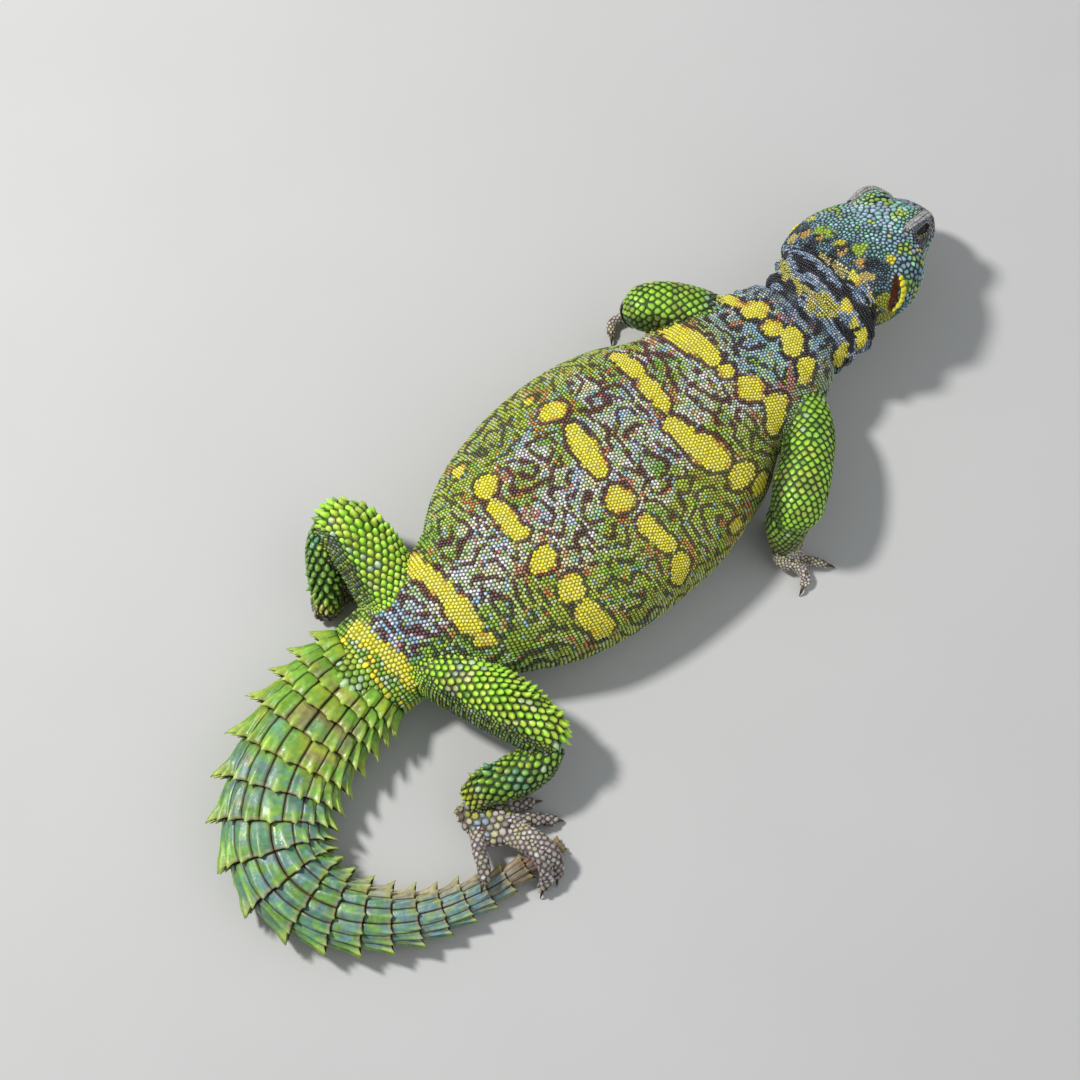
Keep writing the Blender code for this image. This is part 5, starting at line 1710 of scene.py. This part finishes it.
def scute(start, end, centre, half, rng):
    """One scute as a closed lens, keeled and drawn out in a point at its rear edge. Also its colours."""
    share = end / tail.length
    size = 1 - 0.6 * share
    spine = spine_length(centre, share) * rng.uniform(0.85, 1.12)
    u, v = np.meshgrid(SCUTE_ROWS, np.linspace(-1, 1, SCUTE_COLUMNS), indexing="ij")
    u, v = u.ravel(), v.ravel()
    over = math.sin(centre) > -0.4
    corner = -0.3 * math.sin(2 * centre) * over
    lateral = float(soft_step(0.9, 0.3, math.sin(centre)))
    line = v - corner * soft_step(-0.2, 1.0, u)
    point = np.clip(1 - np.abs(line) / (0.36 + 0.12 * lateral), 0, 1)
    drawn = spine * point ** (1 + 0.3 * lateral) * soft_step(0.64, 1.02, u)
    back = (0.85 - 0.2 * lateral) * drawn + 0.2 * size * (1 - v**4) * soft_step(0.4, 1.0, u)
    keel = np.exp(-((line / (0.3 + 0.14 * lateral)) ** 2)) * soft_step(-0.1, 0.9, u)
    angle = centre + v * half * 0.97
    bow = RING_BOW * np.maximum(np.sin(angle), 0) ** 2 * (1 - share) ** 2
    run = start + 0.2 + bow + (end - start - 0.1) * u
    lift = -0.3 + (0.95 * size + 0.3) * soft_step(-0.3, 0.9, u) + 0.22 * size * (1 - v * v) * u
    middle = float(bump(math.sin(centre), 0.6, 0.3))
    lift = lift + ((0.5 + 0.2 * lateral + 0.35 * middle) if over else 0.1) * size * keel
    lift = lift - 0.3 * size * soft_step(0.8, 1.0, np.abs(v)) - 0.3 * size * soft_step(0.12, 0.0, u)
    lift = lift + 0.2 * size * noise(np.stack([run, v * 2 + 9 * centre, 0 * v], 1), 1.2, 59)
    raised = lift + (0.45 + 0.45 * lateral * (1 - 0.7 * share)) * drawn
    stop = np.minimum(run, end + bow)
    on = tail.at(stop, angle, raised)
    top = on + tail.forward(stop) * (run - stop + back)[:, None]
    deep = np.minimum(lift, 0) - 0.5
    thick = 0.25 + 0.75 * size * np.exp(-1.2 * drawn)
    low = tail.at(stop, angle, np.where(back > 0.5, raised - thick, deep))
    low = low + tail.forward(stop) * (run - stop + 0.9 * back)[:, None]
    tints = tail_marking(run, angle, keel * soft_step(0.2, 1.0, u + drawn / 3))
    streak = noise(np.stack([run * 0.6, v * 2.4 + 31 * centre, 0 * v], 1), 1.0, 56)
    tints = tints * (1 + 0.2 * streak + 0.12 * noise(on, 1.0, 56))[:, None]
    edge = soft_step(0.8, 0.98, np.abs(v)) + soft_step(0.14, 0.0, u)
    seam = mix(BROWN * 0.25, SCAR * 0.5, soft_step(0.12, 0.3, share))
    tints = mix(tints, seam, np.clip(0.9 * edge, 0, 1)) * rng.uniform(0.8, 1.2)
    rim = soft_step(0.84, 1.0, u) * (1 - point)
    tints = mix(tints, mix(CREAM, SCAR, 0.5), 0.5 * rim)
    tip = soft_step(0.5, 1.0, u) * np.clip(drawn / 1.6, 0, 1)
    tints = mix(tints, mix(SPRING, PALE_CREAM, 0.25), 0.65 * tip)
    points = np.concatenate([top, low])
    points[:, 2] = np.maximum(points[:, 2], FLOOR_CLEARANCE)
    return points, np.concatenate([tints, np.tile(BROWN * 0.2, (len(low), 1))]), u, v


def scute_faces():
    """Faces of one scute: its top, its underside and the wall between them."""
    index = np.arange(len(SCUTE_ROWS) * SCUTE_COLUMNS).reshape(-1, SCUTE_COLUMNS)
    top = np.stack([index[:-1, :-1], index[1:, :-1], index[1:, 1:], index[:-1, 1:]], -1).reshape(-1, 4)
    total = index.size
    ring = np.concatenate([index[0, :-1], index[:-1, -1], index[-1, :0:-1], index[:0:-1, 0]])
    after = np.roll(ring, -1)
    wall = np.stack([ring, after, after + total, ring + total], -1)
    return np.concatenate([top, top[:, ::-1] + total, wall])


def build_scutes(rng):
    """All the tail's rings of scutes as one mesh."""
    points, tints, patches, faces = [], [], [], []
    one_scute = scute_faces()
    for count, (start, end) in zip(WHORL_SCUTES, whorl_runs()):
        edges = np.arange(count + 1) * math.tau / count
        edges = edges - SIDE_NARROWING * np.sin(2 * edges)
        middle = (start + end) / 2
        for left, right in zip(edges, edges[1:]):
            centre = (left + right) / 2
            if abs(centre - QUARTER) < top_gap(middle):
                continue
            found, tint, u, v = scute(start, end, centre, (right - left) / 2, rng)
            faces.append(one_scute + len(points) * len(found))
            points.append(found)
            tints.append(tint)
            place = np.array((middle / tail.length, (centre / math.tau + 0.25) % 1)) * 0.96 + 0.02
            patch = place + np.stack([u - 0.5, v / 2], 1) * 2 * PATCH
            patches.append(np.concatenate([patch, patch]))
    mesh = mesh_of("tail_scutes", np.concatenate(points), [np.concatenate(faces)])
    paint_points(mesh, np.clip(np.concatenate(tints), 0, 1))
    put_chart(mesh, np.concatenate(patches))
    return object_of("tail_scutes", mesh)


def claw_rings(toe):
    """A curved claw that carries on from the end of a toe and dips at its tip."""
    tip, before = np.array(toe[-1]), np.array(toe[-2])
    along = unit((tip - before) * (1, 1, 0))
    start = tip - along * 1.0
    middle = tip + along * CLAW_LENGTH * 0.45 + (0, 0, 0.3)
    end = tip + along * CLAW_LENGTH - (0, 0, CLAW_DROP)
    end[2] = max(end[2], 0.25)
    stations = [(*start, 0.6, 0.7), (*middle, 0.4, 0.52), (*end, 0.08, 0.1)]
    return level_tube(smooth_rows(stations, 12), (2.0, 2.0)).rings(0.3, 12, 0.0, FLOOR_CLEARANCE)


def loft_object(name, lofts, shade):
    """Several closed lofts as one object, with a colour for each point from its place."""
    points, faces = joined(lofts)
    mesh = mesh_of(name, points, faces)
    paint_points(mesh, shade(points, lofts))
    return object_of(name, mesh)


def claw_shade(points, lofts):
    """Dark brown claws, paler and redder where they leave the toe."""
    share = np.concatenate([np.repeat(np.linspace(0, 1, len(r)), r.shape[1]) for r in lofts])
    return mix(mix(BROWN, TAN, 0.3), BLACK, soft_step(0.1, 0.75, share))


def eye_shade(side):
    """A near-black eye with a thin brown iris round its pupil."""
    def shade(points, lofts):
        away = unit(to_head(points) - mirrored(EYE, side))
        axis = unit(mirrored(LID_WAY, side))
        turn = np.arccos(np.clip(away @ axis, -1, 1))
        iris = bump(turn, 0.52, 0.09)
        streak = 0.75 + 0.25 * noise(away, 0.12, 61)
        colours = mix(BLACK * 0.5, BROWN * 0.8, iris * streak)
        return mix(colours, BROWN * 0.25, soft_step(0.62, 0.9, turn))
    return shade


FRINGE_LOBES = 7
# Angles of the rows of brow plates from the top towards the outside, and the plates in each row
BROW_ROWS = (-0.85, -0.2, 0.45, 1.1)
BROW_PLATES = 17


def fringe_lofts(side):
    """Pointed lobes along the front edge of an ear's opening."""
    rows = smooth_rows([mirrored(row, side) for row in EAR_FRINGE], 60)
    last = len(rows) - 1
    lofts = []
    for k, share in enumerate(np.linspace(0.08, 0.92, FRINGE_LOBES)):
        at = int(share * last)
        row = rows[at]
        along = unit(rows[min(last, at + 4), :3] - rows[max(0, at - 4), :3])
        back = unit(np.array((-1.0, 0.35 * side, 0.0)))
        thin = unit(np.cross(along, back))
        axes = np.stack([back, unit(np.cross(thin, back)), thin], 1)
        size = 1.0 if 0 < k < FRINGE_LOBES - 1 else 0.75
        rings = ball_rings((0.35, 0, 0), np.array((1.25, 0.8, 0.7)) * size, axes, row[:3], 14)
        pull = np.clip(((rings - row[:3]) @ axes[:, 0])[..., None] / 2.0, 0, 1)
        middle = row[:3] + ((rings - row[:3]) @ axes[:, 0])[..., None] * axes[:, 0]
        lofts.append(from_head(middle + (rings - middle) * (1 - 0.6 * pull)))
    return lofts


def brow_plates(side):
    """Narrow plates in four rows along a brow ridge."""
    rows = smooth_rows([mirrored(row, side) for row in BROW], 80)
    last = len(rows) - 1
    lofts = []
    for row, turn in enumerate(BROW_ROWS):
        for share in np.linspace(0.04, 0.93, BROW_PLATES) + 0.026 * (row % 2):
            at = int(min(share, 0.97) * last)
            middle, size = rows[at, :3], rows[at, 3]
            along = unit(rows[min(last, at + 2), :3] - rows[max(0, at - 2), :3])
            out = unit(np.cross(along, (0, 0, 1.0)) * -side)
            rise = unit(np.cross(out, along) * side)
            rise = rise * np.sign(rise[2])
            way = math.cos(turn) * rise + math.sin(turn) * out
            axes = np.stack([along, np.cross(way, along), way], 1)
            place = middle + way * size * 0.88
            lofts.append(ball_rings((0, 0, 0), (0.56, 0.16 + 0.2 * size, 0.32), axes, place, 10))
    return [from_head(rings) for rings in lofts]


def brow_shade(points, lofts):
    """Grey brow plates, each in one tone."""
    each = np.concatenate([np.full(len(r) * r.shape[1], k) for k, r in enumerate(lofts)])
    draw = lattice(np.stack([each, each * 0, each * 0], 1), 63)
    return pick([GRANULE, GRANULE * 1.15, GRANULE * 0.85, SNOUT_GREY, GRANULE * 1.3], draw)


def fringe_shade(points, lofts):
    """A yellow ear fringe."""
    return mix(JAW_YELLOW, YELLOW, 0.5 + 0.5 * noise(points, 1.0, 62))


def skin_marking(places, roots, colours, seams):
    """The skin takes the darkened marking of the scales over it, with painted shade in the ear cups, at the
    lids' edges and in the nostrils.
    """
    tree = nearest_of(roots.place)
    near, gap = map(np.array, zip(*(tree.find(place)[1:] for place in places)))
    bare = mix(BROWN, TAN, 0.3) * 0.6
    found = mix(0.75 * seams[near] + 0.12 * colours[near], bare, soft_step(1.4, 2.2, gap))
    local = to_head(places)
    front = local[:, 0] > HEAD[0][0]
    for side in (1, -1):
        ear = ear_share(local, side)
        # The ear cup is rust, with painted shade darkening it to maroon towards its deepest middle
        found = mix(found, mix(RUST, MAROON, soft_step(0.9, 0.2, ear)), front * (ear < 1.1))
        # Painted shade: black skin at the edges of the lids' openings, round the eyeballs
        found = mix(found, BLACK, front * (eye_share(local, side) < 1.1) * 0.8)
        # Painted shade: black in the nostrils
        found = mix(found, BLACK, front * soft_step(1.2, 0.8, nostril_share(local, side)))
    return found


def node_of(tree, kind, **values):
    node = tree.nodes.new(kind)
    for key, value in values.items():
        setattr(node, key, value)
    return node


def speckle(tree, where, size, detail, low, high):
    """A noise of the given feature size in millimetres, mapped to a range."""
    node = node_of(tree, "ShaderNodeTexNoise")
    node.inputs["Scale"].default_value = 1 / MM / size
    node.inputs["Detail"].default_value = detail
    tree.links.new(where, node.inputs["Vector"])
    ranged = node_of(tree, "ShaderNodeMapRange")
    ranged.inputs["From Min"].default_value = 0.3
    ranged.inputs["From Max"].default_value = 0.7
    ranged.inputs["To Min"].default_value = low
    ranged.inputs["To Max"].default_value = high
    tree.links.new(node.outputs["Fac"], ranged.inputs["Value"])
    return ranged.outputs["Result"]


def new_material(name):
    material = bpy.data.materials.new(name)
    material.use_nodes = True
    return material, material.node_tree, material.node_tree.nodes["Principled BSDF"]


def coated(name, gloss, dull, grain, depth, mottle=0.2, shine=0.5):
    """A material in the painted marking, finely mottled, with its own roughness and a fine relief."""
    material, tree, shader = new_material(name)
    marking = node_of(tree, "ShaderNodeAttribute", attribute_name="Marking")
    where = node_of(tree, "ShaderNodeTexCoord").outputs["Object"]
    product = node_of(tree, "ShaderNodeVectorMath", operation="SCALE")
    tree.links.new(marking.outputs["Color"], product.inputs[0])
    tree.links.new(speckle(tree, where, grain * 2, 3, 1 - mottle, 1 + mottle), product.inputs["Scale"])
    tree.links.new(product.outputs["Vector"], shader.inputs["Base Color"])
    tree.links.new(speckle(tree, where, grain * 3, 2, gloss, dull), shader.inputs["Roughness"])
    relief = node_of(tree, "ShaderNodeBump")
    relief.inputs["Strength"].default_value = 0.6
    relief.inputs["Distance"].default_value = depth * MM
    tree.links.new(speckle(tree, where, grain, 3, 0, 1), relief.inputs["Height"])
    tree.links.new(relief.outputs["Normal"], shader.inputs["Normal"])
    shader.inputs["Specular IOR Level"].default_value = shine
    return material


def dressed(item, material):
    item.data.materials.append(material)
    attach(item, "root")
    return item


# The animal's forms
body = body_tube()
body.relief = body_relief
head = head_tube()
head.relief = head_relief
tail = tail_tube()
limbs = {name: limb_tube(stations) for name, stations in LIMBS.items()}
feet = {}
for name, spec in FEET.items():
    thicker = FOOT_TOE_EXTRA if name.startswith("foot") else 0.0
    feet[name] = [limb_tube(spec["palm"])] + [toe_tube(toe, thicker) for toe in spec["toes"]]

rng = np.random.default_rng(SEED)
skin = build_skin()
skin_faces = [tuple(face.vertices) for face in skin.data.polygons]
surface = BVHTree.FromPolygons(points_of(skin.data).tolist(), skin_faces)

parts = [limb_roots(name, tube) for name, tube in limbs.items()]
parts += [foot_roots(name, tubes) for name, tubes in feet.items()]
parts += [tail_roots(), head_roots(skin.data, rng), body_roots()]
roots = Roots.joined(parts)
loosened = 0.05 + 0.035 * (roots.region == REGION_BODY)
roots.place = roots.place + rng.normal(0, 1, roots.place.shape) * (loosened * roots.pitch)[:, None]
roots, normals = settled(roots, surface)
roots, normals = thinned(roots, normals)
roots, normals = filled(roots, normals, skin.data, surface, rng)
found = neighbours(roots.place)
normals = softened(normals, found)
roots.lie = unit(roots.lie - (roots.lie * normals).sum(1)[:, None] * normals)

colours = np.zeros((len(roots.place), 3))
seams = np.zeros((len(roots.place), 3))


def paint(region, marking, *words):
    """Colours the scales of one region."""
    chosen = roots.region == region
    colours[chosen], seams[chosen] = marking(*words, roots.kept(chosen), rng)


TAIL_ROOT_RADIUS = 13.5


def tail_plate_marking(roots, rng):
    """Yellow beads at the tail's root, then green plates with single pale and brown ones."""
    run, t = roots.data[:, 0], roots.data[:, 1]
    made = tail_marking(run, QUARTER + t / TAIL_ROOT_RADIUS, 0.3)
    loose = rng.random(len(run))
    beads = soft_step(1.6, 0.4, run + 1.5 * (loose - 0.5))
    made = mix(made, pick([YELLOW, SPRING, YELLOW * 0.9, JAW_YELLOW], loose), beads)
    made = flecked(made, [(MINT, 0.16), (SCAR, 0.03), (SPRING, 0.15)], rng)
    return made, np.tile(BROWN * 0.22, (len(run), 1))


paint(REGION_BODY, body_marking)
paint(REGION_HEAD, head_marking)
paint(REGION_TAIL, tail_plate_marking)
for name, region in REGION_LIMB.items():
    paint(region, limb_marking, name)
for name, region in REGION_FOOT.items():
    paint(region, foot_marking, name)
colours = colours * rng.uniform(0.85, 1.15, len(colours))[:, None]

# Finishes: roughness from and to, grain, relief, then mottling and reflection where they differ
skin_finish = coated("skin", 0.55, 0.75, 0.5, 0.05)
bead_finish = coated("bead_scales", 0.27, 0.42, 0.35, 0.02, 0.12)
shield_finish = coated("head_shields", 0.27, 0.42, 0.4, 0.02, 0.12)
leg_finish = coated("leg_scales", 0.26, 0.4, 0.4, 0.02, 0.15)
foot_finish = coated("foot_scales", 0.42, 0.6, 0.35, 0.03)
horn_finish = coated("tail_scutes", 0.28, 0.48, 0.6, 0.04)
claw_finish = coated("claws", 0.25, 0.45, 0.8, 0.02)
eye_finish = coated("eyes", 0.05, 0.09, 1.5, 0.0, 0.1, 0.3)

paint_points(skin.data, skin_marking(points_of(skin.data), roots, colours, seams))
dressed(skin, skin_finish)
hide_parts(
    "head", "neck", "torso", *(f"tail_{k}" for k in range(1, 7)), *LIMBS, *FEET,
)

# Most triangles of one piece of scales
MOST_TRIANGLES = 185000


def add_scales(name, chosen, ways, fit, material):
    """The scales of some roots, in as many pieces as the limit of triangles asks for."""
    index = np.nonzero(chosen)[0]
    index = index[np.argsort(roots.chart[index, 0], kind="stable")]
    triangles_each = 6 * ways - 2
    parts = math.ceil(len(index) * triangles_each / MOST_TRIANGLES)
    for number, piece in enumerate(np.array_split(index, parts), 1):
        label = name if parts == 1 else f"{name}_{number}"
        reach = np.broadcast_to(fit, len(chosen))[piece, None] * reaches(roots, normals, found, piece, ways)
        mesh = scale_mesh(label, roots.kept(piece), normals[piece], reach, colours[piece], seams[piece])
        dressed(object_of(label, mesh), material)


add_scales("body_scales", roots.region == REGION_BODY, 6, 0.95, bead_finish)
on_head = to_head(roots.place)
crown_share = np.linalg.norm((on_head * (1, 0.75, 1) - (12.0, 0, 9.5)) / (8.0, 5.0, 4.0), axis=1)
head_fit = 0.84 + 0.12 * soft_step(1.3, 0.9, crown_share) - 0.06 * soft_step(2, -4, on_head[:, 0])
add_scales("head_scales", roots.region == REGION_HEAD, 8, head_fit, shield_finish)
add_scales("tail_plates", roots.region == REGION_TAIL, 10, 0.97, horn_finish)
for name, region in REGION_LIMB.items():
    add_scales(f"{name}_scales", roots.region == region, 8, 0.87, leg_finish)
for name, region in REGION_FOOT.items():
    add_scales(f"{name}_scales", roots.region == region, 6, 0.95, foot_finish)
dressed(build_scutes(rng), horn_finish)
for name, spec in FEET.items():
    claws = [claw_rings(toe) for toe in spec["toes"]]
    dressed(loft_object(f"{name}_claws", claws, claw_shade), claw_finish)
for side, word in ((1, "left"), (-1, "right")):
    ball = ball_rings(mirrored(EYE, side), (EYE_RADIUS,) * 3, HEAD_AXES, HEAD_ORIGIN, 64)
    eye = dressed(loft_object(f"eyeball_{word}", [ball], eye_shade(side)), eye_finish)
    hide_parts(f"eye_{word}")
    dressed(loft_object(f"ear_fringe_{word}", fringe_lofts(side), fringe_shade), shield_finish)
    dressed(loft_object(f"brow_plates_{word}", brow_plates(side), brow_shade), shield_finish)

# Floor, lights and camera, in metres
FLOOR_HALF = 1.6
floor_mesh = bpy.data.meshes.new("floor")
square = ((-1, -1), (1, -1), (1, 1), (-1, 1))
floor_mesh.from_pydata([(x * FLOOR_HALF, y * FLOOR_HALF, 0) for x, y in square], [], [(0, 1, 2, 3)])
floor = object_of("floor", floor_mesh)
floor_material, floor_tree, floor_shader = new_material("floor")
floor_place = node_of(floor_tree, "ShaderNodeTexCoord").outputs["Object"]
floor_colour = node_of(floor_tree, "ShaderNodeVectorMath", operation="SCALE")
floor_colour.inputs[0].default_value = (0.56, 0.56, 0.55)
floor_tree.links.new(speckle(floor_tree, floor_place, 60, 3, 0.985, 1.015), floor_colour.inputs["Scale"])
floor_tree.links.new(floor_colour.outputs["Vector"], floor_shader.inputs["Base Color"])
floor_tree.links.new(speckle(floor_tree, floor_place, 25, 2, 0.76, 0.84), floor_shader.inputs["Roughness"])
floor.data.materials.append(floor_material)


def area_light(name, place, size, watts, colour):
    """A round lamp that faces the origin."""
    light = bpy.data.lights.new(name, "AREA")
    light.shape = "DISK"
    light.size = size
    light.energy = watts
    light.color = colour
    item = object_of(name, light)
    item.location = place
    item.rotation_euler = Vector(place).to_track_quat("Z", "Y").to_euler()


area_light("key", (-0.25, 0.45, 0.75), 0.12, 7.2, (1.0, 0.99, 0.97))
area_light("fill", (0.5, -0.6, 0.6), 1.5, 3.0, (0.95, 0.97, 1.0))
world = bpy.context.scene.world or bpy.data.worlds.new("studio")
bpy.context.scene.world = world
world.use_nodes = True
background = world.node_tree.nodes["Background"]
background.inputs["Color"].default_value = (0.86, 0.9, 0.95, 1)
background.inputs["Strength"].default_value = 0.34
bpy.context.scene.view_settings.view_transform = "Standard"

VIEW_AZIMUTH = math.radians(40)
VIEW_ELEVATION = math.radians(75)
CAMERA_PLACE = (-0.11555, -0.11784, 0.57956)
LENS = 78.6
SENSOR = 36
across = np.array((math.cos(VIEW_AZIMUTH), -math.sin(VIEW_AZIMUTH), 0))
away = np.array((math.sin(VIEW_AZIMUTH), math.cos(VIEW_AZIMUTH), 0))
towards = -away * math.cos(VIEW_ELEVATION) + UP * math.sin(VIEW_ELEVATION)
turned = Matrix(np.stack([across, np.cross(towards, across), towards], 1)).to_4x4()
camera_data = bpy.data.cameras.new("camera")
camera_data.lens = LENS
camera_data.sensor_width = SENSOR
camera_data.clip_start = 0.01
camera = object_of("camera", camera_data)
camera.matrix_world = Matrix.Translation(Vector(CAMERA_PLACE)) @ turned
bpy.context.scene.camera = camera
